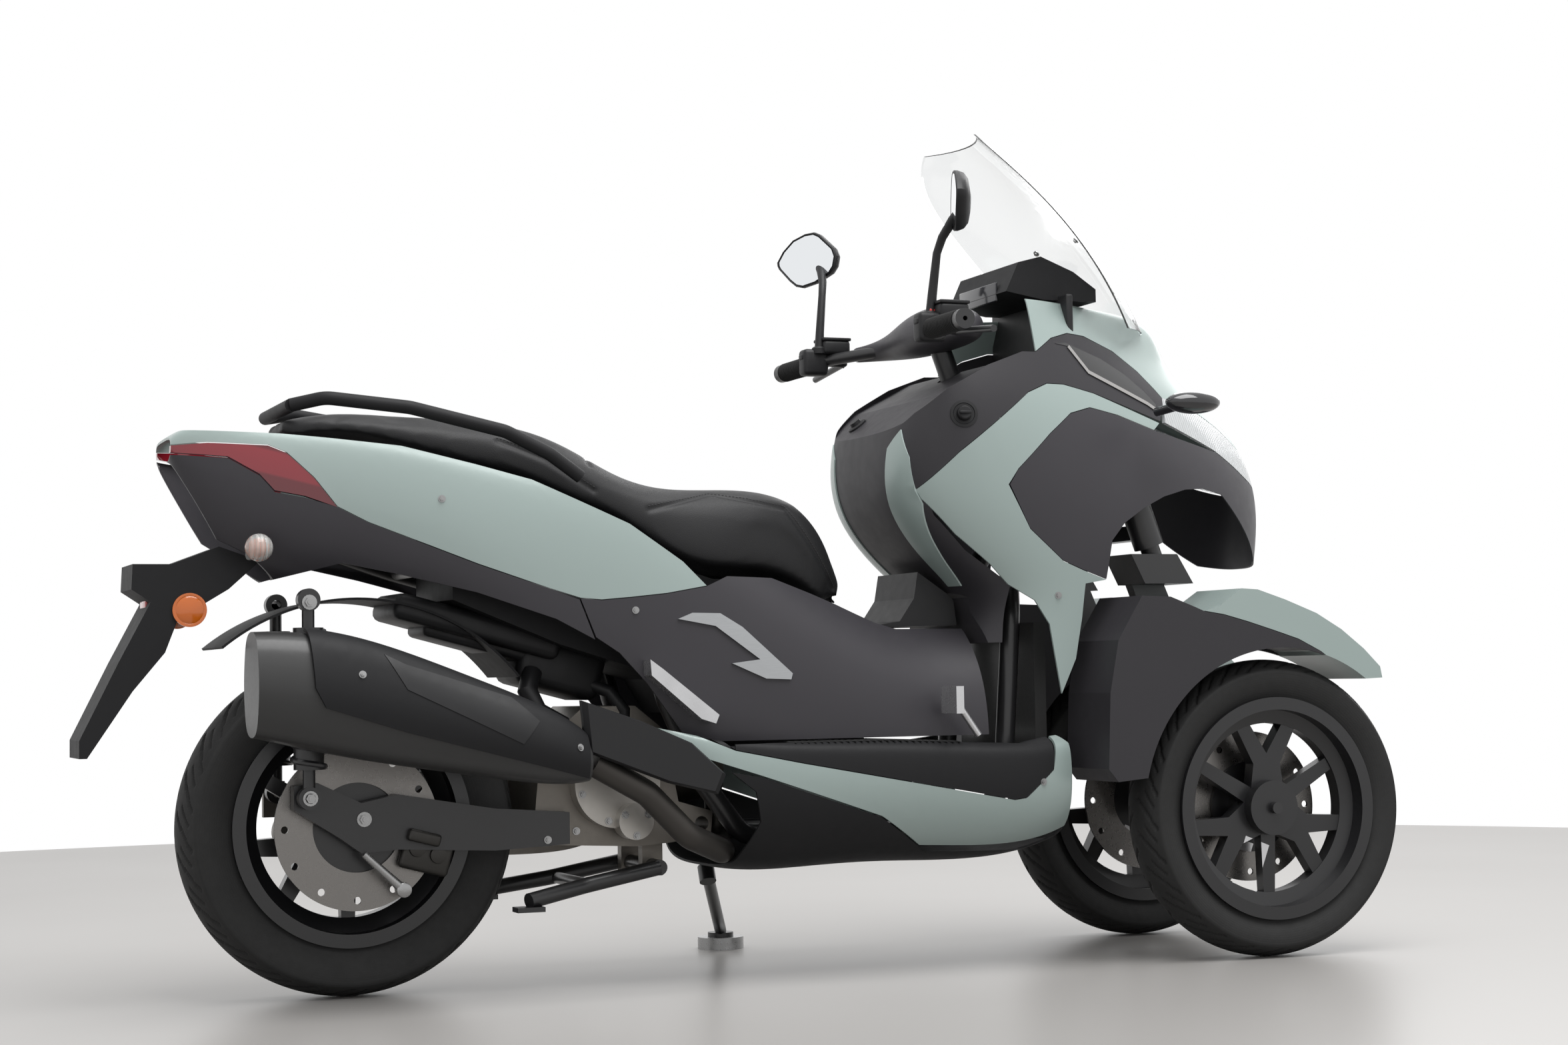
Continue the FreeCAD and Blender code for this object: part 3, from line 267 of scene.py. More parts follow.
def brushed_metal(name, colour, stretch, roughness=0.3):
    made = Finish(name, Metallic=0.9)
    lines = made.noise(0.002, 3.0, stretch=stretch)
    made.shade(colour, 0.15, lines)
    made.rough(roughness, 0.06, lines)
    return made.bump(lines, 0.00003).material


def clear_plastic(name, colour, alpha):
    made = Finish(name, Roughness=0.04, IOR=1.49, Transmission_Weight=1.0 - alpha)
    return made.shade(colour, 0.03, made.noise(0.2)).material


def fluted_lens(name, colour, pitch, clear=0.4):
    """A moulded lens with upright flutes."""
    made = Finish(name, Roughness=0.06, IOR=1.49, Transmission_Weight=clear)
    split = made.node("ShaderNodeSeparateXYZ", {}, {0: made.place()})
    flutes = (split * (2 * math.pi / pitch)).sine() * 0.5 + 0.5
    made.shade(colour, 0.25, flutes)
    return made.bump(flutes, 0.0004).material


def banded_lens(name, colour, dark, slope, pitch):
    """A red lens with slanted light and dark bands behind it."""
    made = Finish(name, Roughness=0.07, Coat_Weight=0.6, Coat_Roughness=0.03)
    across = made.vector("DOT_PRODUCT", made.place(), (math.sin(slope), 0.0, math.cos(slope)), "Value")
    bands = ((across * (2 * math.pi / pitch)).sine() * 3.0 + 0.5).held()
    made.feed("Base Color", made.blend(bands, dark, colour))
    return made.rough(0.08, 0.02, made.noise(0.02)).material


def leather(name, colour):
    made = Finish(name, Specular_IOR_Level=0.3)
    pores = made.grain(0.0022)
    made.shade(colour, 0.15, made.noise(0.05))
    made.rough(0.56, 0.05, pores)
    return made.bump(pores, 0.00025).material


class PaintSettings(bpy.types.PropertyGroup):
    """Colours of the bodywork."""
    panel_colour: FloatVectorProperty(name="Panel colour", description="Painted covers",
                                      subtype="COLOR", default=(0.27, 0.33, 0.315))
    dark_colour: FloatVectorProperty(name="Dark colour", description="Dark grey covers",
                                     subtype="COLOR", default=(0.034, 0.032, 0.037))
    plastic_colour: FloatVectorProperty(name="Plastic colour", description="Unpainted mouldings",
                                        subtype="COLOR", default=(0.008, 0.008, 0.009))


class TyreSettings(bpy.types.PropertyGroup):
    """Sizes of the tyres' tread."""
    groove_depth: FloatProperty(name="Groove depth", description="Depth of the tread's grooves",
                                unit="LENGTH", default=0.0045)
    pitches: IntProperty(name="Pitches", description="Repeats of the tread round a tyre", default=26)
    steps_per_pitch: IntProperty(name="Steps", description="Mesh steps in each repeat", default=18)


class SeatSettings(bpy.types.PropertyGroup):
    """Sizes of the seat's padding."""
    pressure: FloatProperty(name="Pressure", description="Pressure that blows the cover up", default=4.0)
    swell: FloatProperty(name="Swell", description="Most that the padding may puff out",
                         unit="LENGTH", default=0.006)
    voxel: FloatProperty(name="Voxel", description="Mesh size of the padding", unit="LENGTH", default=0.0078)


class StageSettings(bpy.types.PropertyGroup):
    """Camera and light."""
    floor: FloatProperty(name="Floor", description="Radius of the round floor", unit="LENGTH", default=4.4)
    sky: FloatProperty(name="Sky", description="Brightness of the white surroundings", default=1.0)
    lens: FloatProperty(name="Lens", description="Focal length in millimetres", default=60.35)
    heading: FloatProperty(name="Heading", description="Turned from +Y towards +X", subtype="ANGLE",
                           default=math.radians(21.844))
    climb: FloatProperty(name="Climb", description="Tilt above the horizon", subtype="ANGLE",
                         default=math.radians(3.373))
    roll: FloatProperty(name="Roll", description="Tilt about the line of sight", subtype="ANGLE",
                        default=math.radians(-0.926))


# Each light's name, place, size and power, and the place that they point at, in metres.
LIGHTS = (("key", (0.3, -1.6, 4.6), 3.5, 240.0), ("fill", (3.5, 3.0, 3.5), 3.0, 80.0))
LIT_PLACE = Vector((0, 0, 0.6))
# The painted highlight on one spoke's outer face, measured out from the axle, and where that spoke points.
HIGHLIT_SPOKE_TURN = math.radians(-111.0)
HIGHLIGHT_FROM = 0.062
HIGHLIGHT_TO = 0.148
HIGHLIGHT_HALF_WIDTH = 0.026
CAMERA_FROM_REAR_AXLE = (-934.9, -4276.9, 505.4)
FLOOR_COLOUR = (0.30, 0.29, 0.28)
SKY_COLOUR = (1.0, 1.0, 1.0)


def look(nodes, material):
    """Give CAD nodes a material."""
    for name in nodes:
        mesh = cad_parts[name]
        mesh.data.materials.clear()
        mesh.data.materials.append(material)


def linked(name, data):
    """A new object in the scene."""
    made = bpy.data.objects.new(name, data)
    bpy.context.scene.collection.objects.link(made)
    return made


def finished(name, mesh, body, material=None, sharp=35.0):
    """A smooth piece of this mesh, riding on a body."""
    if material:
        mesh.materials.append(material)
    mesh.polygons.foreach_set("use_smooth", [True] * len(mesh.polygons))
    mesh.set_sharp_from_angle(angle=math.radians(sharp))
    piece = linked(name, mesh)
    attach(piece, body)
    return piece


def circle(middle, side, other, radius, sides):
    """Points round a circle between two directions, with its radius in millimetres."""
    turns = [2 * math.pi * index / sides for index in range(sides)]
    return [middle + (side * math.cos(turn) + other * math.sin(turn)) * (radius * MM) for turn in turns]


def route(places, side=1):
    """Places given for the left side, or their mirror images for the right (-1)."""
    return [at(x, side * y, z) for x, y, z in places]


class Shape:
    """A mesh gathered from turned, swept, stacked and bevelled forms."""

    def __init__(self):
        self.work = bmesh.new()

    def stack(self, rings):
        """Join rings of points one after another."""
        made = [[self.work.verts.new(point) for point in ring] for ring in rings]
        for near, far in zip(made, made[1:]):
            for index in range(len(near)):
                after = (index + 1) % len(near)
                self.work.faces.new((near[index], near[after], far[after], far[index]))
        self.work.faces.new(made[0])
        self.work.faces.new(made[-1])
        return self

    def turned(self, start, way, profile, sides=32):
        """Turn (along, radius) pairs, in millimetres, about an axis."""
        way = Vector(way).normalized()
        side = way.orthogonal().normalized()
        other = way.cross(side)
        return self.stack([circle(start + way * (along * MM), side, other, radius, sides)
                           for along, radius in profile])

    def swept(self, path, radius, sides=12):
        """A round bar along points, with a radius in millimetres for each or for all."""
        sizes = radius if isinstance(radius, tuple) else [radius] * len(path)
        rings, side = [], None
        for index, (point, size) in enumerate(zip(path, sizes)):
            way = (path[min(index + 1, len(path) - 1)] - path[max(index - 1, 0)]).normalized()
            side = way.orthogonal() if side is None else side - way * side.dot(way)
            side.normalize()
            rings.append(circle(point, side, way.cross(side), size, sides))
        return self.stack(rings)

    def block(self, centre, size, turn=None, bevel=2.0):
        """A block with rounded edges, sized in millimetres."""
        made = bmesh.ops.create_cube(self.work, size=1.0)["verts"]
        stretch = Matrix.Diagonal((*[part * MM for part in size], 1.0))
        place = Matrix.Translation(centre) @ (turn or Matrix()) @ stretch
        bmesh.ops.transform(self.work, matrix=place, verts=made)
        edges = list({edge for vert in made for edge in vert.link_edges})
        bmesh.ops.bevel(self.work, geom=edges, offset=bevel * MM, segments=3, affect="EDGES", profile=0.5)
        return self

    def blocks(self, table, side=1, turn=None):
        """Blocks given as place, size and rounding, for the left side or the right."""
        for place, size, bevel in table:
            self.block(route([place], side)[0], size, turn, bevel)
        return self

    def laid(self, skin, outline, axis, sign, thick, step=9.0, sunk=0.6):
        """A sheet cut to an outline and laid on a skin, seen along one axis from one side."""
        corners = [Vector(pair) for pair in outline]
        border = densely(corners + corners[:1], step)[:-1]
        low = [min(corner[part] for corner in corners) for part in range(2)]
        high = [max(corner[part] for corner in corners) for part in range(2)]
        grid = [Vector((x, y)) for x in np.arange(low[0] + step / 2, high[0], step)
                for y in np.arange(low[1] + step / 2, high[1], step)]
        grid = [spot for spot in grid if inside(spot, corners)
                and all((spot - edge).length > step * 0.6 for edge in border)]
        loop = [(i, (i + 1) % len(border)) for i in range(len(border))]
        flat, _edges, faces, *_rest = delaunay_2d_cdt(border + grid, loop, [], 1, 1e-5)
        out = Vector((0.0, 0.0, 0.0))
        out[axis] = sign
        lower, upper = [], []
        for point in flat:
            place = list(point)
            place.insert(axis, sign * FAR)
            spot = touch(skin, at(*place), -out)[0]
            lower.append(self.work.verts.new(spot - out * (sunk * MM)))
            upper.append(self.work.verts.new(spot + out * (thick * MM)))
        uses = {}
        for face in faces:
            self.work.faces.new([upper[i] for i in face])
            self.work.faces.new([lower[i] for i in reversed(face)])
            for pair in zip(face, face[1:] + face[:1]):
                uses[tuple(sorted(pair))] = uses.get(tuple(sorted(pair)), 0) + 1
        for (a, b), count in uses.items():
            if count == 1:
                self.work.faces.new((upper[a], upper[b], lower[b], lower[a]))
        return self

    def piece(self, name, material, slot, body="chassis"):
        """The finished piece, closed and facing outwards."""
        bmesh.ops.remove_doubles(self.work, verts=self.work.verts, dist=2e-6)
        bmesh.ops.dissolve_degenerate(self.work, dist=1e-7, edges=self.work.edges)
        bmesh.ops.recalc_face_normals(self.work, faces=self.work.faces)
        mesh = bpy.data.meshes.new(name)
        self.work.to_mesh(mesh)
        self.work.free()
        return finished(name, mesh, body, material)


def inside(point, corners):
    """Whether a flat point lies inside an outline."""
    x, y = point
    found = False
    for here, there in zip(corners, corners[1:] + corners[:1]):
        if (here.y > y) != (there.y > y):
            crossing = here.x + (there.x - here.x) * (y - here.y) / (there.y - here.y)
            found = found != (x < crossing)
    return found


def band(path, width):
    """The outline of a strip of this width along a flat path."""
    points = [Vector(pair) for pair in path]
    sides = ([], [])
    for index, point in enumerate(points):
        way = (points[min(index + 1, len(points) - 1)] - points[max(index - 1, 0)]).normalized()
        across = Vector((-way.y, way.x)) * (width / 2)
        sides[0].append(point + across)
        sides[1].append(point - across)
    return sides[0] + sides[1][::-1]


def skin_of(*nodes):
    """The outer faces of CAD nodes, for laying pieces on."""
    points, faces = [], []
    for name in nodes:
        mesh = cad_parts[name].data
        start = len(points)
        points += [vert.co.copy() for vert in mesh.vertices]
        faces += [[start + index for index in polygon.vertices] for polygon in mesh.polygons]
    return BVHTree.FromPolygons(points, faces)


def touch(skin, start, way):
    """Where a line first meets a skin, and which way the skin faces there."""
    place, normal, _index, _distance = skin.ray_cast(start, Vector(way).normalized())
    if place is None:
        raise RuntimeError("nothing is met from " + str([round(part, 3) for part in start]))
    if normal.dot(way) > 0:
        normal = -normal
    return place, normal


def beside(skin, x, z, side):
    """A place on a skin seen square from the left (1) or right (-1)."""
    return touch(skin, at(x, side * FAR, z), (0, -side, 0))


def behind(skin, y, z):
    """A place on a skin seen from straight behind."""
    return touch(skin, at(-FAR, y, z), (1, 0, 0))


def over(skin, x, y):
    """A place on a skin seen from straight above."""
    return touch(skin, at(x, y, FAR), (0, 0, -1))


class Growth(Graph):
    """A Geometry Nodes tree with named inputs that repeats a form at a mesh's points."""

    def __init__(self, name, **inputs):
        self.tree = bpy.data.node_groups.new(name, "GeometryNodeTree")
        face = self.tree.interface
        face.new_socket("Geometry", in_out="INPUT", socket_type="NodeSocketGeometry")
        face.new_socket("Material", in_out="INPUT", socket_type="NodeSocketMaterial")
        for label, value in inputs.items():
            face.new_socket(label, in_out="INPUT", socket_type="NodeSocketFloat").default_value = value
        face.new_socket("Geometry", in_out="OUTPUT", socket_type="NodeSocketGeometry")
        entry = self.tree.nodes.new("NodeGroupInput")
        self.leave = self.tree.nodes.new("NodeGroupOutput")
        self.given = {socket.name: Wire(self.tree, socket) for socket in entry.outputs if socket.name}

    def facing(self):
        """A rotation that points up along each place's way."""
        return self.turned("Z", self.node(
            "GeometryNodeInputNamedAttribute", {"data_type": "FLOAT_VECTOR"}, {"Name": "way"}))

    def along(self, axis="X"):
        """A rotation that points this axis along the path."""
        return self.turned(axis, self.node("GeometryNodeInputTangent"))

    def turned(self, axis, way):
        return self.node("FunctionNodeAlignRotationToVector", {"axis": axis}, {"Vector": way})

    def repeated(self, points, instance, rotation):
        """Instances on points, made real and given the material."""
        placed = self.node("GeometryNodeInstanceOnPoints", {}, {
            "Points": points, "Instance": instance, "Rotation": rotation})
        real = self.node("GeometryNodeRealizeInstances", {}, {0: placed})
        dressed = self.node("GeometryNodeSetMaterial", {}, {
            "Geometry": real, "Material": self.given["Material"]})
        self.tree.links.new(dressed.socket, self.leave.inputs[0])
        return self

    def spaced(self, length):
        """Places at this spacing along the given path."""
        path = self.node("GeometryNodeMeshToCurve", {}, {0: self.given["Geometry"]})
        return self.node("GeometryNodeResampleCurve", {"mode": "LENGTH"}, {"Curve": path, "Length": length})

    def bead(self, segments, *size):
        """A rounded bead with the three sizes given."""
        ball = self.node("GeometryNodeMeshUVSphere", {}, {"Segments": segments, "Rings": 6, "Radius": 0.5})
        scale = self.node("ShaderNodeCombineXYZ", {}, dict(enumerate(size)))
        return self.node("GeometryNodeTransform", {}, {"Geometry": ball, "Scale": scale})

    def bent(self, curve, wire, sides, **capped):
        """A round wire along a curve."""
        profile = self.node("GeometryNodeCurvePrimitiveCircle", {}, {"Resolution": sides, "Radius": wire})
        return self.node("GeometryNodeCurveToMesh", {}, {"Curve": curve, "Profile Curve": profile, **capped})

    def grow(self, name, points, material, slot, body="chassis", axes=None, edges=(), **values):
        """Run the tree on points, and keep the plain mesh that comes of it."""
        mesh = bpy.data.meshes.new(name)
        mesh.from_pydata([tuple(point) for point in points], list(edges), [])
        if axes:
            store = mesh.attributes.new("way", "FLOAT_VECTOR", "POINT")
            store.data.foreach_set("vector", [part for way in axes for part in way])
        seed = linked(name, mesh)
        modifier = seed.modifiers.new(name, "NODES")
        modifier.node_group = self.tree
        values["Material"] = material
        for item in self.tree.interface.items_tree:
            if item.in_out == "INPUT" and item.name in values:
                modifier[item.identifier] = values[item.name]
        grown = apply_modifiers(seed).data
        bpy.data.objects.remove(seed)
        if not grown.polygons:
            raise RuntimeError(name + " grew nothing")
        return finished(name, grown, body)


def bolt_tree():
    """Screws with a flange and a domed six-sided head, pointing along each place's way."""
    made = Growth("bolts", Radius=0.006, Height=0.004)
    radius, height = made.given["Radius"], made.given["Height"]
    parts = []
    for sides, width, tall in ((16, 1.0, 0.5), (6, 0.66, 1.4), (12, 0.36, 1.7)):
        cylinder = made.node("GeometryNodeMeshCylinder", {}, {
            "Vertices": sides, "Radius": radius * width, "Depth": height * tall})
        parts.append(made.node("GeometryNodeTransform", {}, {
            "Geometry": cylinder,
            "Translation": made.node("ShaderNodeCombineXYZ", {}, {2: height * (tall / 2 - 0.1)})}))
    head = made.node("GeometryNodeJoinGeometry", {}, {0: parts})
    return made.repeated(made.given["Geometry"], head, made.facing())


def chain(start, stop):
    """Edges that join points one after another."""
    return [(index, index + 1) for index in range(start, stop - 1)]


def bolted(name, spots, steel, radius, height):
    """Screws at pairs of a place and the way that it faces."""
    places, ways = zip(*spots)
    bolt_tree().grow(name, places, steel, "bare_steel", axes=ways, Radius=radius, Height=height)


def stitch_tree():
    """Stitches laid end to end along a seam."""
    made = Growth("stitches", Length=0.005, Thickness=0.0011)
    length, thickness = made.given["Length"], made.given["Thickness"]
    return made.repeated(made.spaced(length * 1.35), made.bead(8, length, thickness, thickness), made.along())


def rib_tree():
    """Rounded ribs across a path, side by side."""
    made = Growth("ribs", Spacing=0.008, Length=0.06, Thickness=0.003, Height=0.003)
    bead = made.bead(10, made.given["Thickness"], made.given["Length"], made.given["Height"])
    return made.repeated(made.spaced(made.given["Spacing"]), bead, made.along())


def ring_tree():
    """Raised rings round an axis, side by side along a path."""
    made = Growth("rings", Spacing=0.006, Radius=0.017, Wire=0.0016)
    hoop = made.node("GeometryNodeCurvePrimitiveCircle", {}, {
        "Resolution": 32, "Radius": made.given["Radius"]})
    ring = made.bent(hoop, made.given["Wire"], 6)
    return made.repeated(made.spaced(made.given["Spacing"]), ring, made.along("Z"))


def coil_tree():
    """Coil springs standing on each place, along its way."""
    made = Growth("coils", Turns=8.0, Radius=0.02, Height=0.2, Wire=0.004)
    spiral = made.node("GeometryNodeCurveSpiral", {}, {
        "Resolution": 28, "Rotations": made.given["Turns"], "Start Radius": made.given["Radius"],
        "End Radius": made.given["Radius"], "Height": made.given["Height"]})
    coil = made.bent(spiral, made.given["Wire"], 8, **{"Fill Caps": True})
    return made.repeated(made.given["Geometry"], coil, made.facing())


def grid_faces(rows, columns):
    """Quads of a grid that closes on itself both ways."""
    faces = []
    for row in range(rows):
        for column in range(columns):
            after = (column + 1) % columns
            below = (row + 1) % rows
            faces.append((row * columns + column, row * columns + after,
                          below * columns + after, below * columns + column))
    return faces


class SCOOTER_OT_stage(bpy.types.Operator):
    """Pale floor, soft lights and the camera"""
    bl_idname = "scooter.stage"
    bl_label = "Stage"

    def execute(self, context):
        settings = context.scene.scooter_stage
        self.floor(settings.floor)
        world = bpy.data.worlds.new("studio")
        world.use_nodes = True
        background = world.node_tree.nodes["Background"]
        background.inputs["Color"].default_value = (*SKY_COLOUR, 1.0)
        background.inputs["Strength"].default_value = settings.sky
        context.scene.world = world
        for light in LIGHTS:
            self.light(*light)
        self.camera(settings)
        context.scene.view_settings.view_transform = "Standard"
        return {"FINISHED"}

    def floor(self, radius):
        """A round floor with a soft shine."""
        mesh = bpy.data.meshes.new("floor")
        work = bmesh.new()
        bmesh.ops.create_circle(work, cap_ends=True, segments=180, radius=radius)
        work.to_mesh(mesh)
        work.free()
        ground = Finish("floor", Specular_IOR_Level=0.35)
        ground.shade(FLOOR_COLOUR, 0.02, ground.noise(3.0))
        ground.rough(0.34, 0.04, ground.noise(1.0))
        mesh.materials.append(ground.material)
        linked("floor", mesh)

    def light(self, name, place, size, power):
        """A square light aimed at the machine's middle."""
        light = bpy.data.lights.new(name, "AREA")
        light.size = size
        light.energy = power
        lamp = linked(name, light)
        lamp.location = place
        lamp.rotation_euler = (LIT_PLACE - Vector(place)).to_track_quat("-Z", "Y").to_euler()

    def camera(self, settings):
        """The camera where the photograph was taken."""
        camera = linked("camera", bpy.data.cameras.new("camera"))
        camera.data.lens = settings.lens
        camera.data.clip_end = 200.0
        heading = Matrix.Rotation(-settings.heading, 4, "Z")
        climb = Matrix.Rotation(math.pi / 2 + settings.climb, 4, "X")
        roll = Matrix.Rotation(settings.roll, 4, "Z")
        camera.matrix_world = Matrix.Translation(at(*CAMERA_FROM_REAR_AXLE)) @ heading @ climb @ roll
        bpy.context.scene.camera = camera


PAINTED = ("tail_covers", "front_side_panels", "nose_cowl", "side_skirts", "fender_cap_left",
           "fender_cap_right")
DARK = ("side_covers", "wheel_arch_panels", "handlebar_cover", "tail_lower_cover")
# Parts of the same dark grey plastic that get a darker copy of it as painted shade.
DARK_PAINTED_SHADE = ("leg_shield", "upper_panels", "fender_left", "fender_right")
BLACK = ("licence_holder", "storage_tub", "footboards", "belly_pan", "dash", "muffler_shield",
         "rear_inner_fender", "grab_rails")


class SCOOTER_OT_bodywork(bpy.types.Operator):
    """Paint and plastic of the covers"""
    bl_idname = "scooter.bodywork"
    bl_label = "Bodywork"

    def execute(self, context):
        settings = context.scene.scooter_paint
        look(PAINTED, satin_paint("sage_paint", settings.panel_colour))
        look(DARK, moulded_plastic("dark_grey", settings.dark_colour, 0.46))
        # The dark grey made 0.7 times as dark: painted shade on the leg shield, upper panels and fenders.
        darker = [part * 0.7 for part in settings.dark_colour]
        look(DARK_PAINTED_SHADE, moulded_plastic("dark_grey_painted_shade", darker, 0.5))
        black = moulded_plastic("black_moulding", settings.plastic_colour, 0.6, shine=0.25)
        look(BLACK, black)
        look(["centre_tunnel"], moulded_plastic("tunnel_black", (0.010, 0.010, 0.011), 0.5))
        silver = brushed_metal("silver_trim", (0.42, 0.43, 0.44), (0.1, 1, 1), 0.35)
        look(["side_trims"], silver)
        look(["windscreen"], clear_plastic("clear_screen", (0.98, 0.99, 0.99), 0.02))
        return {"FINISHED"}


class SCOOTER_OT_running_gear(bpy.types.Operator):
    """Metal of the frame, engine, forks, stands and exhaust"""
    bl_idname = "scooter.running_gear"
    bl_label = "Running gear"

    def execute(self, context):
        black = black_metal("black_steel", (0.012, 0.012, 0.013))
        look(["frame", "rear_arm", "side_stand", "centre_stand", "handlebar", "fork_left", "fork_right",
              "tilt_arms", "rear_shocks"], black)
        look(["engine_block", "drive_case"], cast_alloy("cast_alloy", (0.20, 0.185, 0.165)))
        look(["engine_cover"], cast_alloy("silver_cover", (0.46, 0.44, 0.41), 0.35, 0.0001))
        look(["exhaust_pipe"], brushed_metal("exhaust_steel", (0.07, 0.065, 0.06), (0.05, 1, 1), 0.5))
        look(["muffler"], black_metal("muffler_black", (0.014, 0.014, 0.014), 0.5))
        look(["radiator"], black_metal("radiator_core", (0.012, 0.012, 0.012), 0.6))
        look(["brake_pedal", "passenger_pegs"], cast_alloy("polished_alloy", (0.6, 0.6, 0.61), 0.25, 0.00005))
        low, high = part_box("stand_puck")
        look(["stand_puck"], turned_steel("bare_steel", (0.35, 0.35, 0.35), (low + high) / 2))
        return {"FINISHED"}


class SCOOTER_OT_lamps(bpy.types.Operator):
    """Lenses of the lamps, bulbs and reflectors"""
    bl_idname = "scooter.lamps"
    bl_label = "Lamps"

    def execute(self, context):
        look(["headlamps"], fluted_lens("clear_lens", (0.75, 0.77, 0.78), 0.006, 0.5))
        look(["rear_signals"], fluted_lens("signal_lens", (0.9, 0.9, 0.88), 0.008, 0.7))
        look(["front_signals"], gloss_plastic("signal_black", (0.015, 0.015, 0.017)))
        look(["tail_lamp"], banded_lens("red_lens", (0.19, 0.008, 0.016), (0.10, 0.004, 0.009), 0.25, 0.075))
        amber = gloss_plastic("amber_reflector", (0.5, 0.11, 0.008), 0.15)
        red = gloss_plastic("red_reflector", (0.4, 0.01, 0.01), 0.15)
        shape = Shape()
        for side in (1, -1):
            spot = beside(skin_of("licence_holder"), -262, 627, side)[0]
            shape.turned(spot - Vector((0, side * 0.002, 0)), (0, side, 0), REFLECTOR, 40)
        shape.piece("side_reflectors", amber, "red_lens")
        low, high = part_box("rear_signals")
        shape = Shape()
        for side in (1, -1):
            middle = Vector(((low.x + high.x) / 2, side * (high.y - 0.03), (low.z + high.z) / 2))
            shape.turned(middle, (0, side, 0), BULB, 20)
        shape.piece("signal_bulbs", amber, "red_lens")
        place = behind(skin_of("licence_holder"), 0, 640)[0]
        Shape().block(place, (8, 60, 24)).piece("rear_reflector", red, "red_lens")
        return {"FINISHED"}


# Outlines seen from the side as (x, z), in millimetres from the ground under the rear axle.
INSET_TOP = [(1225, 1085), (1250, 1088), (1330, 1064), (1381, 1038), (1421, 1007), (1441, 985)]
INSET_FOOT = [(1255, 1082), (1289, 1036), (1418, 985), (1436, 975)]
SHIELD_INSET = [(-2, 551), (30, 535), (201, 481), (242, 443), (213, 408), (124, 451), (30, 496)]
COVER_SCREWS = [("side_covers", 436, 619), ("side_skirts", 520, 385), ("side_skirts", 1150, 320),
                ("tail_covers", 120, 800), ("front_side_panels", 1200, 640)]
SHIELD_SCREWS = [(310, 400), (-40, 520)]
# How far to its side the middle of a footboard's mat lies.
FOOTBOARD_Y = 205
# The shield over the exhaust pipe, and each of its rings' place across and scale about its middle.
SHIELD_MIDDLE = Vector((440, 395))
SHIELD_RINGS = ((-246, 0.97), (-250, 1.0), (-262, 1.0), (-270, 0.93))
PIPE_SHIELD = [(322, 474), (420, 440), (508, 402), (566, 350), (552, 318), (470, 338), (330, 392)]
# Places seen from behind as (y, z), and the left one of two painted pads beside the knees.
SCREEN_SCREWS = [(-78, 1200), (-78, 1290), (78, 1200), (78, 1290)]
KNEE_PAD = [(92, 660), (130, 660), (152, 720), (176, 800), (172, 880), (150, 930), (118, 900), (104, 800)]
# Turned parts as (along, radius).
KNOB = [(0, 24), (3, 24), (3.5, 19), (2.5, 18), (2.5, 13), (12, 12), (14, 10), (14, 1)]
KEY_BARREL = [(0, 19), (6, 19), (8, 16), (8, 11), (14, 10), (14, 1)]
REFLECTOR = [(0, 25), (2, 27), (6, 27), (6.5, 23), (6, 22), (8, 18), (8.8, 0.5)]
BULB = [(-9, 2), (-7, 7), (2, 9), (7, 6), (9, 1)]
CALIPER_PISTON = [(0, 14), (6, 13), (7, 9), (7, 1)]
LINK_BOSS = [(0, 12), (18, 12), (20, 9), (20, 1)]


class SCOOTER_OT_trim(bpy.types.Operator):
    """Inset panels, trim strips, knobs, mats and covers' screws"""
    bl_idname = "scooter.trim"
    bl_label = "Trim"

    def execute(self, context):
        settings = context.scene.scooter_paint
        black = moulded_plastic("trim_black", settings.plastic_colour, 0.5)
        gloss = gloss_plastic("trim_gloss", (0.012, 0.012, 0.013))
        silver = brushed_metal("trim_silver", (0.45, 0.44, 0.43), (0.1, 1, 1), 0.32)
        steel = cast_alloy("screw_steel", (0.35, 0.35, 0.35), 0.3, 0.00005)
        cowl = skin_of("upper_panels", "nose_cowl", "dash", "front_side_panels")
        insets, strips = Shape(), Shape()
        for side in (1, -1):
            insets.laid(cowl, INSET_TOP + INSET_FOOT[::-1], 1, side, 1.0)
            strips.laid(cowl, band(INSET_FOOT, 7.0), 1, side, 2.4, 6.0)
        insets.piece("cowl_insets", gloss, "gloss_black")
        strips.piece("cowl_strips", silver, "silver_trim")
        knees = Shape()
        skin = skin_of("leg_shield", "front_side_panels", "wheel_arch_panels")
        for side in (1, -1):
            knees.laid(skin, [(side * y, z) for y, z in KNEE_PAD], 0, -1, 3.0, 12.0)
        knees.piece("knee_pads", satin_paint("knee_paint", settings.panel_colour), "painted_panel")
        shield = Shape().laid(skin_of("muffler_shield"), SHIELD_INSET, 1, -1, 1.2)
        shield.piece("shield_inset", black, "black_plastic")
        spot, out = beside(skin_of("upper_panels", "leg_shield"), 1028, 953, -1)
        knob = Shape().turned(spot - out * 0.002, out, KNOB)
        knob.block(spot + out * 0.013, (22, 6, 5), bevel=1.5)
        knob.piece("lock_knob", black, "black_plastic")
        self.screws(steel)
        self.mats(rubber("mat_rubber", (0.016, 0.016, 0.016)))
        return {"FINISHED"}

    def screws(self, steel):
        """Screws of the covers, each on the skin that it holds."""
        spots = [beside(skin_of(node), x, z, side) for side in (1, -1) for node, x, z in COVER_SCREWS]
        spots += [beside(skin_of("muffler_shield"), x, z, -1) for x, z in SHIELD_SCREWS]
        spots += [behind(skin_of("windscreen"), y, z) for y, z in SCREEN_SCREWS]
        bolted("cover_screws", spots, steel, 0.006, 0.003)

    def mats(self, rubbery):
        """Ribbed mats on both footboards."""
        skin = skin_of("footboards")
        made = rib_tree()
        for side, name in ((1, "left"), (-1, "right")):
            path = [over(skin, x, side * FOOTBOARD_Y)[0] for x in range(700, 1001, 30)]
            made.grow("footboard_ribs_" + name, path, rubbery, "black_plastic", edges=chain(0, len(path)),
                      Spacing=0.012, Length=0.07, Thickness=0.006, Height=0.005)


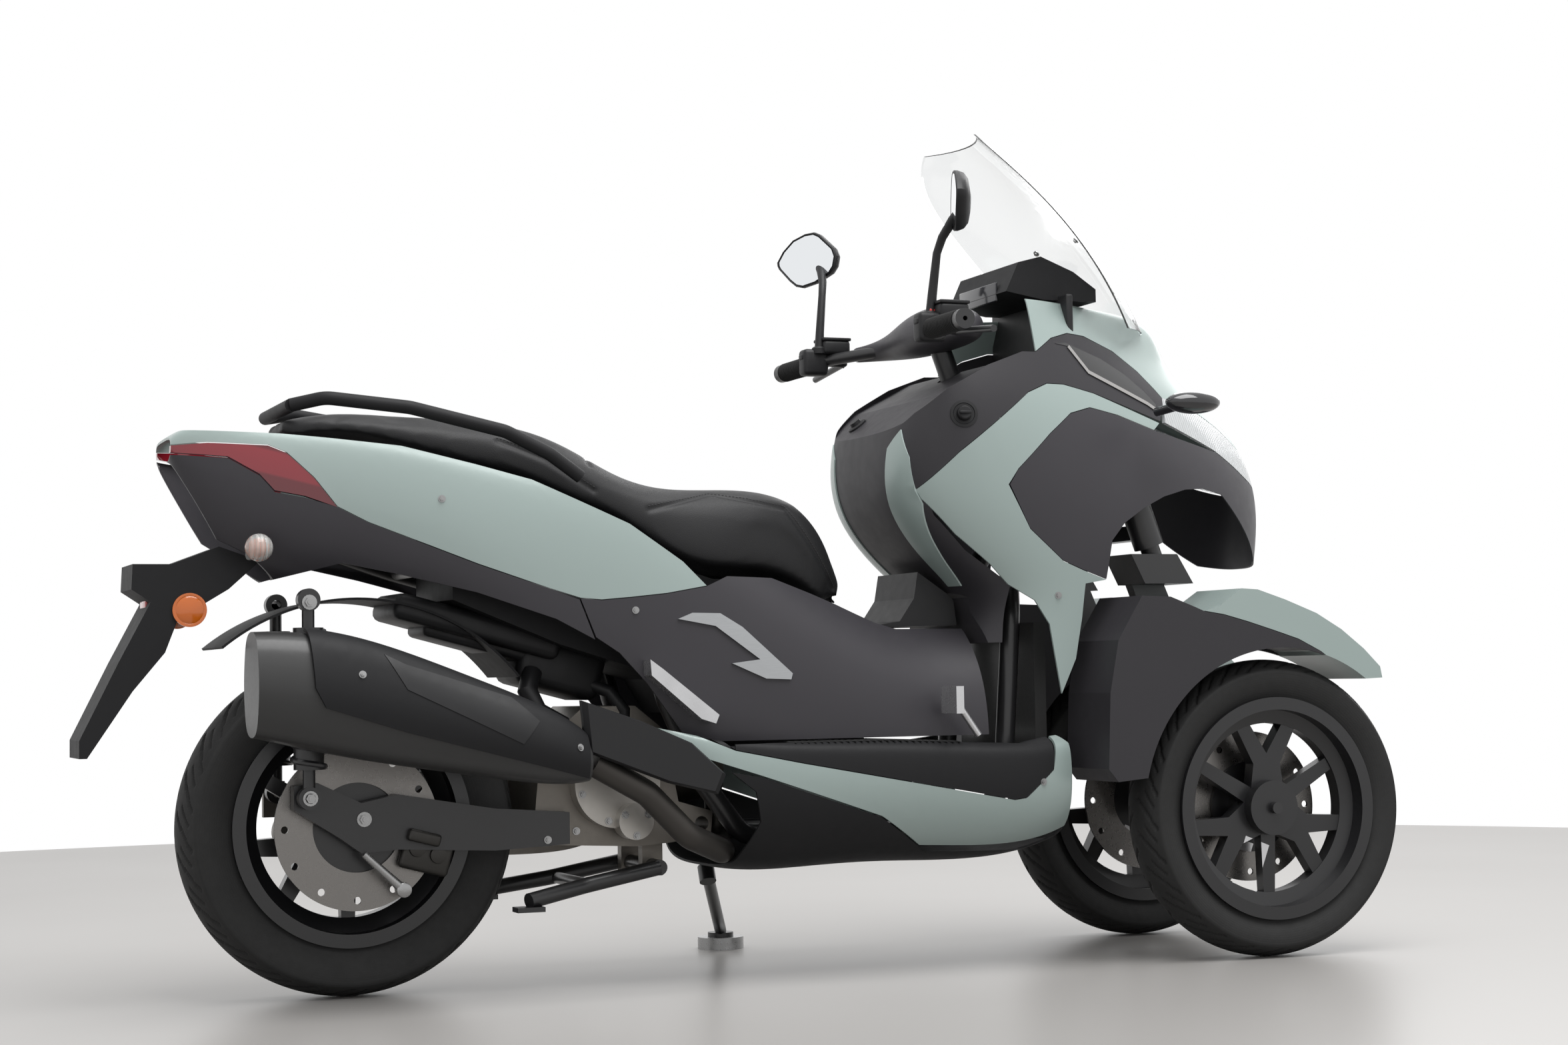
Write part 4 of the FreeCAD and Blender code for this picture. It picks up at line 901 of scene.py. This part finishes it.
class SCOOTER_OT_controls(bpy.types.Operator):
    """Grips, switches, mirror glass, dials and key"""
    bl_idname = "scooter.controls"
    bl_label = "Controls"

    def execute(self, context):
        settings = context.scene.scooter_paint
        black = moulded_plastic("control_black", settings.plastic_colour, 0.5)
        rings = ring_tree()
        bar = skin_of("handlebar")
        for side, name in ((1, "left"), (-1, "right")):
            radius = over(bar, GRIP[0][0], side * 330)[0].z - GRIP[0][2] * MM
            rings.grow("grip_rings_" + name, route(GRIP, side),
                       rubber("grip_rubber", (0.015, 0.015, 0.015)), "black_plastic", "handlebar",
                       edges=[(0, 1)], Spacing=0.0055, Radius=radius, Wire=0.0014)
        boxes = Shape()
        for side in (1, -1):
            boxes.blocks(SWITCH_BOXES, side)
        boxes.piece("switch_boxes", black, "black_plastic", "handlebar")
        Shape().block(at(958, -250, 1122), (16, 12, 12), bevel=3.0).piece(
            "stop_switch", gloss_plastic("stop_red", (0.5, 0.02, 0.015), 0.3), "red_lens", "handlebar")
        glass = Finish("mirror_glass", Metallic=1.0, Base_Color=(0.8, 0.82, 0.84, 1))
        glass.rough(0.03, 0.01, glass.noise(0.1))
        panes, shells = Shape(), Shape()
        for side in (1, -1):
            shells.stack([mirror_ring(side, scale, depth) for scale, depth in MIRROR_SHELL])
            panes.stack([mirror_ring(side, 0.80, depth) for depth in (-1.5, 2)])
            shells.swept(route(MIRROR_STALK, side), STALK_RADII, 16)
            shells.turned(at(955, side * 247, 1110), (0, 0, 1), [(0, 14), (10, 14), (13, 11)], 24)
        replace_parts(shells.piece("mirror_shells", black, "mirror_shell", "handlebar"), "mirrors")
        panes.piece("mirror_glass", glass.material, "mirror_shell", "handlebar")
        self.dials(black)
        return {"FINISHED"}

    def dials(self, black):
        """The display in the dash, and the key barrel."""
        place = touch(skin_of("dash"), at(700, 0, 1190), (1, 0, 0))[0]
        faces = Shape().block(place, (4, 150, 34), bevel=1.5)
        faces.piece("dial_faces", gloss_plastic("dial_black", (0.02, 0.02, 0.024)), "gloss_black")
        place, out = touch(skin_of("leg_shield", "upper_panels", "dash"), at(700, 100, 960), (1, 0, 0))
        key = Shape().turned(place - out * 0.003, out, KEY_BARREL)
        key.piece("key_barrel", black, "black_plastic")


def mirror_ring(side, scale, depth):
    """A mirror's outline at a scale, this far in front of its glass."""
    out = Vector((-math.sin(MIRROR_TURN), side * math.cos(MIRROR_TURN), 0))
    forward = Vector((math.cos(MIRROR_TURN), side * math.sin(MIRROR_TURN), 0))
    middle = at(968, side * 322, 1298) + forward * (depth * MM)
    return [middle + (out * u + Vector((0, 0, v))) * (scale * MM) for u, v in MIRROR_OUTLINE]


# Both ends of the left grip's middle line.
GRIP = ((943, 278, 1090), (943, 384, 1090))
# Places, sizes and roundings beside the left grip.
SWITCH_BOXES = (((948, 258, 1094), (50, 34, 50), 8.0), ((986, 256, 1122), (54, 50, 26), 6.0),
                ((986, 256, 1137), (56, 52, 6), 2.0), ((926, 258, 1104), (10, 18, 10), 2.5))
MIRROR_STALK = ((955, 247, 1114), (958, 249, 1150), (966, 254, 1222), (972, 264, 1248),
                (980, 290, 1274), (984, 306, 1284))
STALK_RADII = (9, 8, 7, 7.5, 8.5, 9)
MIRROR_TURN = math.radians(22.0)
MIRROR_OUTLINE = ((99, 8), (98, 0), (93, -8), (60, -38), (40, -52), (20, -57), (-20, -52), (-66, -36),
                  (-80, -22), (-86, 0), (-78, 18), (-36, 52), (-18, 60), (10, 60), (48, 51), (80, 30))
# Scales of the outline and how far forward each lies, from the glass's rim to the back.
MIRROR_SHELL = ((0.80, 1), (0.85, -2), (0.88, 0), (0.88, 6), (0.82, 15), (0.66, 22), (0.35, 26))


# Places, sizes and roundings of blocks, and the runs of the air box's ducts and of the lever.
TAIL_GUARD = (((205, 0, 597), (290, 172, 44), 14.0), ((215, 0, 573), (200, 120, 30), 10.0))
AIR_BOX = (((352, 10, 528), (150, 150, 84), 18.0), ((352, 10, 560), (130, 130, 20), 6.0))
REAR_CALIPER = (((109, -97, 231), (84, 20, 62), 8.0), ((100, -110, 258), (54, 40, 20), 5.0))
DASH_WALL = (((1275, 0, 1130), (14, 300, 100), 4.0),)
AIR_DUCT = ((300, -60, 520), (285, -84, 490), (300, -92, 455), (345, -88, 430))
BREATHER_DUCT = ((400, -50, 500), (430, -76, 486), (452, -84, 455), (452, -80, 420))
BRAKE_LEVER = ((3, -118, 235), (40, -120, 200), (66, -120, 176))
RADIATOR_LINE = ((1210.5, 0, 347), (1210.5, 0, 583))
PISTONS = ((92, 240), (126, 228))
ENGINE_BOLTS = ((365, 257), (481, 281), (308, 246))
# Rings of bolts as middle, radius and count.
BOLT_RINGS = ((428, 335, 64, 6), (452, 272, 23, 3))
# The shocks' place along the machine, and heights on them.
SHOCK_X = -88
SPRING_FOOT = 376
SHOCK_ENDS = (327, 636)


class SCOOTER_OT_mechanics(bpy.types.Operator):
    """Springs, bolts, fins, the brake lever and dark pieces round the engine"""
    bl_idname = "scooter.mechanics"
    bl_label = "Mechanics"

    def execute(self, context):
        steel = cast_alloy("nut_steel", (0.38, 0.38, 0.38), 0.28, 0.00005)
        self.bolts(steel)
        spring = black_metal("spring_black", (0.02, 0.02, 0.022), 0.3)
        skin = skin_of("rear_shocks")
        points = []
        for side in (1, -1):
            outer = beside(skin, SHOCK_X, 480, side)[0]
            inner = touch(skin, at(SHOCK_X, 0, 480), (0, side, 0))[0]
            points.append(Vector((outer.x, (outer.y + inner.y) / 2, SPRING_FOOT * MM)))
            radius = abs(outer.y - inner.y) / 2
        coil_tree().grow("shock_springs", points, spring, "black_steel", axes=[(0, 0, 1)] * 2,
                         Turns=9.0, Radius=radius + 0.001, Height=0.214, Wire=0.0048)
        fin_alloy = brushed_metal("fin_alloy", (0.12, 0.12, 0.12), (1, 1, 1), 0.5)
        rib_tree().grow("radiator_fins", route(RADIATOR_LINE), fin_alloy, "radiator_core", edges=[(0, 1)],
                        Spacing=0.0045, Length=0.27, Thickness=0.0016, Height=0.004)
        self.brake_link(steel)
        self.undersides()
        return {"FINISHED"}

    def undersides(self):
        """Dark pieces round the engine, at the rear disc, under the dash and over the exhaust pipe."""
        black = moulded_plastic("guard_black", (0.010, 0.010, 0.011), 0.5)
        slope = Matrix.Rotation(math.radians(15.0), 4, "Y")
        Shape().blocks(TAIL_GUARD, turn=slope).piece("tail_guard", black, "black_plastic")
        box = Shape().blocks(AIR_BOX, turn=slope)
        box.swept(route(AIR_DUCT), 17, 16).swept(route(BREATHER_DUCT), 11, 14)
        box.piece("air_box", black, "black_plastic")
        alloy = cast_alloy("caliper_alloy", (0.05, 0.048, 0.045), 0.4, 0.0001)
        caliper = Shape().blocks(REAR_CALIPER, turn=slope)
        for x, z in PISTONS:
            caliper.turned(at(x, -106, z), (0, -1, 0), CALIPER_PISTON, 24)
        caliper.piece("rear_caliper", alloy, "engine_alloy")
        Shape().blocks(DASH_WALL).piece("dash_wall", black, "black_plastic")
        rings = []
        for y, scale in SHIELD_RINGS:
            spread = [SHIELD_MIDDLE.lerp(Vector(pair), scale) for pair in PIPE_SHIELD]
            rings.append([at(point.x, y, point.y) for point in spread])
        Shape().stack(rings).piece("pipe_shield", black, "black_plastic")

    def bolts(self, steel):
        """Bolts of the engine, the shocks and the rear arm."""
        spots = list(ENGINE_BOLTS)
        for x, z, radius, count in BOLT_RINGS:
            turns = [2 * math.pi * (index + 0.25) / count for index in range(count)]
            spots += [(x + radius * math.cos(turn), z + radius * math.sin(turn)) for turn in turns]
        skin = skin_of("engine_cover", "engine_block", "rear_arm")
        bolted("engine_bolts", [(beside(skin, x, z, -1)[0], (0, -1, 0)) for x, z in spots],
               steel, 0.0065, 0.0045)
        # The shocks' eyes are open in the middle, so the skin is met just above it.
        above, skin = 13, skin_of("rear_shocks")
        spots = [(beside(skin, SHOCK_X, z + above, side)[0] - Vector((0, 0, above * MM)), (0, side, 0))
                 for side in (1, -1) for z in SHOCK_ENDS]
        spots.append((beside(skin_of("rear_arm"), 4, 290, -1)[0], (0, -1, 0)))
        bolted("shock_bolts", spots, steel, 0.012, 0.006)

    def brake_link(self, steel):
        """The silver lever beside the rear wheel."""
        link = Shape().swept(route(BRAKE_LEVER), (6, 7, 8))
        link.turned(at(66, -108, 176), (0, -1, 0), LINK_BOSS, 24)
        link.piece("brake_lever", steel, "polished_alloy")


# Radii of a rim's bead seat and of its flange, and each tyre's body and half its rim's width.
BEAD = 0.1835
FLANGE = 0.199
TYRES = (("rear_tyre", "rear_wheel", 0.057), ("front_tyre_left", "front_wheel_left", 0.050),
         ("front_tyre_right", "front_wheel_right", 0.050))


def tyre_profile(radius, half_width, rim_half):
    """Half-sections of a tyre from bead to bead, as radius, offset and how much tread there is."""
    points = []
    shoulder = radius - 0.020
    for share in np.linspace(0.0, 1.0, 5)[:-1]:
        points.append((BEAD + (FLANGE - BEAD) * share, -(rim_half - 0.014) - 0.006 * share, 0.0))
    for share in np.linspace(0.0, 1.0, 10)[:-1]:
        bulge = (half_width - rim_half + 0.002) * math.sin(share * math.pi * 0.62)
        points.append((FLANGE + (shoulder - FLANGE) * share, -(rim_half - 0.008) - bulge, 0.0))
    edge = points[-1][1]
    for share in np.linspace(-1.0, 1.0, 49):
        drop = abs(share) ** 2.2
        cut = 1.0 if abs(share) < 0.97 else 0.0
        points.append((radius - (radius - shoulder) * drop, share * abs(edge), cut))
    mirrored = [(r, -y, tread) for r, y, tread in points[:13]]
    return points + mirrored[::-1]


# Each cut's shift round the pitch, half its width, and where it starts and ends across the tread.
TREAD_CUTS = ((0.0, 0.055, 0.10, 0.93), (0.5, 0.045, 0.45, 0.85))


def tread(along, across):
    """How deep the tread is cut here, from nothing to one: slanted cuts either side of the middle."""
    reach = np.abs(across)
    shifted = along + np.where(across >= 0, 0.5, 0.0)
    cut = 0.0
    for shift, half_width, start, stop in TREAD_CUTS:
        slant = (shifted + shift - 1.1 * reach ** 1.4) % 1.0
        cut = np.maximum(cut, (np.abs(slant - 0.5) < half_width) & (reach > start) & (reach < stop))
    return cut


class SCOOTER_OT_tyres(bpy.types.Operator):
    """Tyres with a cut tread"""
    bl_idname = "scooter.tyres"
    bl_label = "Tyres"

    def execute(self, context):
        settings = context.scene.scooter_tyres
        steps = settings.pitches * settings.steps_per_pitch
        for node, body, rim_half in TYRES:
            low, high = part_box(node)
            centre = (low + high) / 2
            radius = (high.z - low.z) / 2
            half_width = (high.y - low.y) / 2
            made = tyre_rubber(node + "_rubber", centre)
            profile = np.array(tyre_profile(radius, half_width, rim_half))
            angles = np.linspace(0.0, 2 * math.pi, steps, endpoint=False)
            along = np.arange(steps)[:, None] / settings.steps_per_pitch
            edge = np.abs(profile[profile[:, 2] > 0][:, 1]).max()
            across = (profile[:, 1] / edge)[None, :]
            cut = tread(along, across) * profile[:, 2][None, :] * settings.groove_depth
            reach = profile[:, 0][None, :] - cut
            points = np.stack([centre.x + reach * np.cos(angles)[:, None],
                               np.broadcast_to(centre.y + profile[:, 1][None, :], reach.shape),
                               centre.z + reach * np.sin(angles)[:, None]], axis=-1)
            faces = grid_faces(steps, len(profile))
            mesh = bpy.data.meshes.new(node + "_tread")
            mesh.from_pydata(points.reshape(-1, 3).tolist(), [], faces)
            outward(mesh)
            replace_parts(finished(node + "_tread", mesh, body, made, 180.0), node)
        return {"FINISHED"}


def outward(mesh, apart=0.0):
    """Merge points that aren't this far apart, and turn every face outwards."""
    work = bmesh.new()
    work.from_mesh(mesh)
    if apart:
        bmesh.ops.remove_doubles(work, verts=work.verts, dist=apart)
    bmesh.ops.recalc_face_normals(work, faces=work.faces)
    work.to_mesh(mesh)
    work.free()


class SCOOTER_OT_wheels(bpy.types.Operator):
    """Rims and brake discs"""
    bl_idname = "scooter.wheels"
    bl_label = "Wheels"

    def execute(self, context):
        look(["rear_rim"], black_metal("wheel_black", (0.008, 0.008, 0.009), 0.3))
        for node in ("front_rim_left", "front_rim_right"):
            low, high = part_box(node)
            # Each front rim gets black paint with a painted highlight on one spoke.
            look([node], wheel_black(node + "_black", (low + high) / 2, HIGHLIT_SPOKE_TURN))
        for node in ("rear_brake_disc", "front_brake_disc_left", "front_brake_disc_right"):
            low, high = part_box(node)
            look([node], turned_steel(node + "_steel", (0.22, 0.21, 0.2), (low + high) / 2))
        return {"FINISHED"}


def apply_modifiers(piece):
    """The evaluated mesh in place of the modifiers."""
    graph = bpy.context.evaluated_depsgraph_get()
    mesh = bpy.data.meshes.new_from_object(piece.evaluated_get(graph), depsgraph=graph)
    piece.modifiers.clear()
    piece.data = mesh
    return piece


def inflated(piece, pressure, most):
    """Blow a closed cover up as cloth, with no point moving further than allowed."""
    rest = places_of(piece)
    cloth = piece.modifiers.new("Cloth", "CLOTH")
    cloth.settings.use_pressure = True
    cloth.settings.uniform_pressure_force = pressure
    cloth.settings.effector_weights.gravity = 0.0
    cloth.settings.quality = 4
    cloth.point_cache.frame_start = 1
    cloth.point_cache.frame_end = 20
    for step in range(1, 21):
        bpy.context.scene.frame_set(step)
    apply_modifiers(piece)
    bpy.context.scene.frame_set(1)
    shift = places_of(piece) - rest
    reach = np.linalg.norm(shift, axis=1, keepdims=True)
    shift *= np.minimum(1.0, most / np.maximum(reach, 1e-9))
    put_places(piece, rest + shift)


def places_of(piece, what="co"):
    """The places of a piece's points, or another vector of theirs."""
    found = np.empty(len(piece.data.vertices) * 3)
    piece.data.vertices.foreach_get(what, found)
    return found.reshape(-1, 3)


def put_places(piece, places):
    piece.data.vertices.foreach_set("co", places.ravel())
    piece.data.update()


def pressed(piece, lines):
    """Press grooves into a piece along lines of points."""
    places = places_of(piece)
    nearest = np.full(len(places), 1.0)
    for line in lines:
        for here, there in zip(line, line[1:]):
            here, way = np.array(here), np.array(there - here)
            share = np.clip(((places - here) @ way) / max(way @ way, 1e-12), 0.0, 1.0)
            nearest = np.minimum(nearest, np.linalg.norm(places - here - share[:, None] * way, axis=1))
    depth = SEAM_DEPTH * np.exp(-(nearest / SEAM_WIDTH) ** 2)
    put_places(piece, places - places_of(piece, "normal") * depth[:, None])


def densely(points, step=0.004):
    """Points at small steps along a line of points."""
    found = []
    for here, there in zip(points, points[1:]):
        count = max(1, round((there - here).length / step))
        found += [here.lerp(there, share / count) for share in range(count)]
    return found + [points[-1]]


# The step between the two seats, and how far the seam across it reaches from the middle.
SEAT_STEP_X = 386
SEAM_REACH = 118
SEAM_DEPTH = 0.0035
SEAM_WIDTH = 0.005
SEAT_SEAMS = (((227, 900), (306, 870), (386, 819)), ((481, 788), (597, 816), (732, 792), (841, 657)))


class SCOOTER_OT_seat(bpy.types.Operator):
    """Padded dual seat, blown up as cloth, with pressed seams and stitches"""
    bl_idname = "scooter.seat"
    bl_label = "Seat"

    def execute(self, context):
        settings = context.scene.scooter_seat
        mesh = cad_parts["seat"].data.copy()
        outward(mesh, 1e-5)
        piece = linked("seat_cover", mesh)
        for kind, values in (("REMESH", {"mode": "VOXEL", "voxel_size": settings.voxel}),
                             ("SMOOTH", {"iterations": 6})):
            modifier = piece.modifiers.new(kind, kind)
            for name, value in values.items():
                setattr(modifier, name, value)
        apply_modifiers(piece)
        put_places(piece, places_of(piece) - places_of(piece, "normal") * settings.swell)
        inflated(piece, settings.pressure, settings.swell * 1.6)
        level = piece.modifiers.new("Smooth", "SUBSURF")
        level.levels = level.render_levels = 1
        apply_modifiers(piece)
        lines = self.seams(piece)
        pressed(piece, lines)
        piece.data.polygons.foreach_set("use_smooth", [True] * len(piece.data.polygons))
        piece.data.materials.clear()
        piece.data.materials.append(leather("seat_leather", (0.014, 0.014, 0.015)))
        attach(piece, "seat_lid")
        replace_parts(piece, "seat")
        thread = rubber("seat_thread", (0.05, 0.05, 0.052))
        rows, edges = [], []
        skin = BVHTree.FromObject(piece, context.evaluated_depsgraph_get())
        for line in lines:
            start = len(rows)
            for point in line:
                spot, out, _index, _gap = skin.find_nearest(point + Vector((0, 0, 0.006)))
                rows.append(spot + out * 0.0002)
            edges += chain(start, len(rows))
        stitch_tree().grow("seat_stitches", rows, thread, "seat_cover", "seat_lid", edges=edges,
                           Length=0.0045, Thickness=0.0012)
        return {"FINISHED"}

    def seams(self, piece):
        """Seams as dense lines on the cover: along both sides, and across at the step."""
        skin = BVHTree.FromObject(piece, bpy.context.evaluated_depsgraph_get())
        lines = []
        for side in (1, -1):
            for seam in SEAT_SEAMS:
                path = densely([Vector((x, z, 0.0)) for x, z in seam], 4.0)
                lines.append([beside(skin, point.x, point.y, side)[0] for point in path])
        lines.append([over(skin, SEAT_STEP_X, y)[0] for y in range(-SEAM_REACH, SEAM_REACH + 1, 4)])
        return lines


class SCOOTER_PT_panel(bpy.types.Panel):
    """Sizes, colours and the steps in order"""
    bl_idname = "SCOOTER_PT_panel"
    bl_label = "Scooter"
    bl_space_type = "VIEW_3D"
    bl_region_type = "UI"
    bl_category = "Scooter"

    def draw(self, context):
        for group in GROUPS.values():
            settings = getattr(context.scene, group)
            for name in type(settings).__annotations__:
                self.layout.prop(settings, name)
        for step in STEPS:
            self.layout.operator(step.bl_idname)


GROUPS = {PaintSettings: "scooter_paint", TyreSettings: "scooter_tyres", SeatSettings: "scooter_seat",
          StageSettings: "scooter_stage"}
STEPS = (SCOOTER_OT_stage, SCOOTER_OT_bodywork, SCOOTER_OT_running_gear, SCOOTER_OT_lamps, SCOOTER_OT_trim,
         SCOOTER_OT_controls, SCOOTER_OT_mechanics, SCOOTER_OT_wheels, SCOOTER_OT_tyres, SCOOTER_OT_seat)


def register():
    for group, name in GROUPS.items():
        bpy.utils.register_class(group)
        setattr(bpy.types.Scene, name, PointerProperty(type=group))
    for step in STEPS:
        bpy.utils.register_class(step)
    bpy.utils.register_class(SCOOTER_PT_panel)


def unregister():
    bpy.utils.unregister_class(SCOOTER_PT_panel)
    for step in reversed(STEPS):
        bpy.utils.unregister_class(step)
    for group, name in GROUPS.items():
        delattr(bpy.types.Scene, name)
        bpy.utils.unregister_class(group)


def main():
    register()
    for step in STEPS:
        area, name = step.bl_idname.split(".")
        getattr(getattr(bpy.ops, area), name)()


if __name__ == "__main__":
    main()
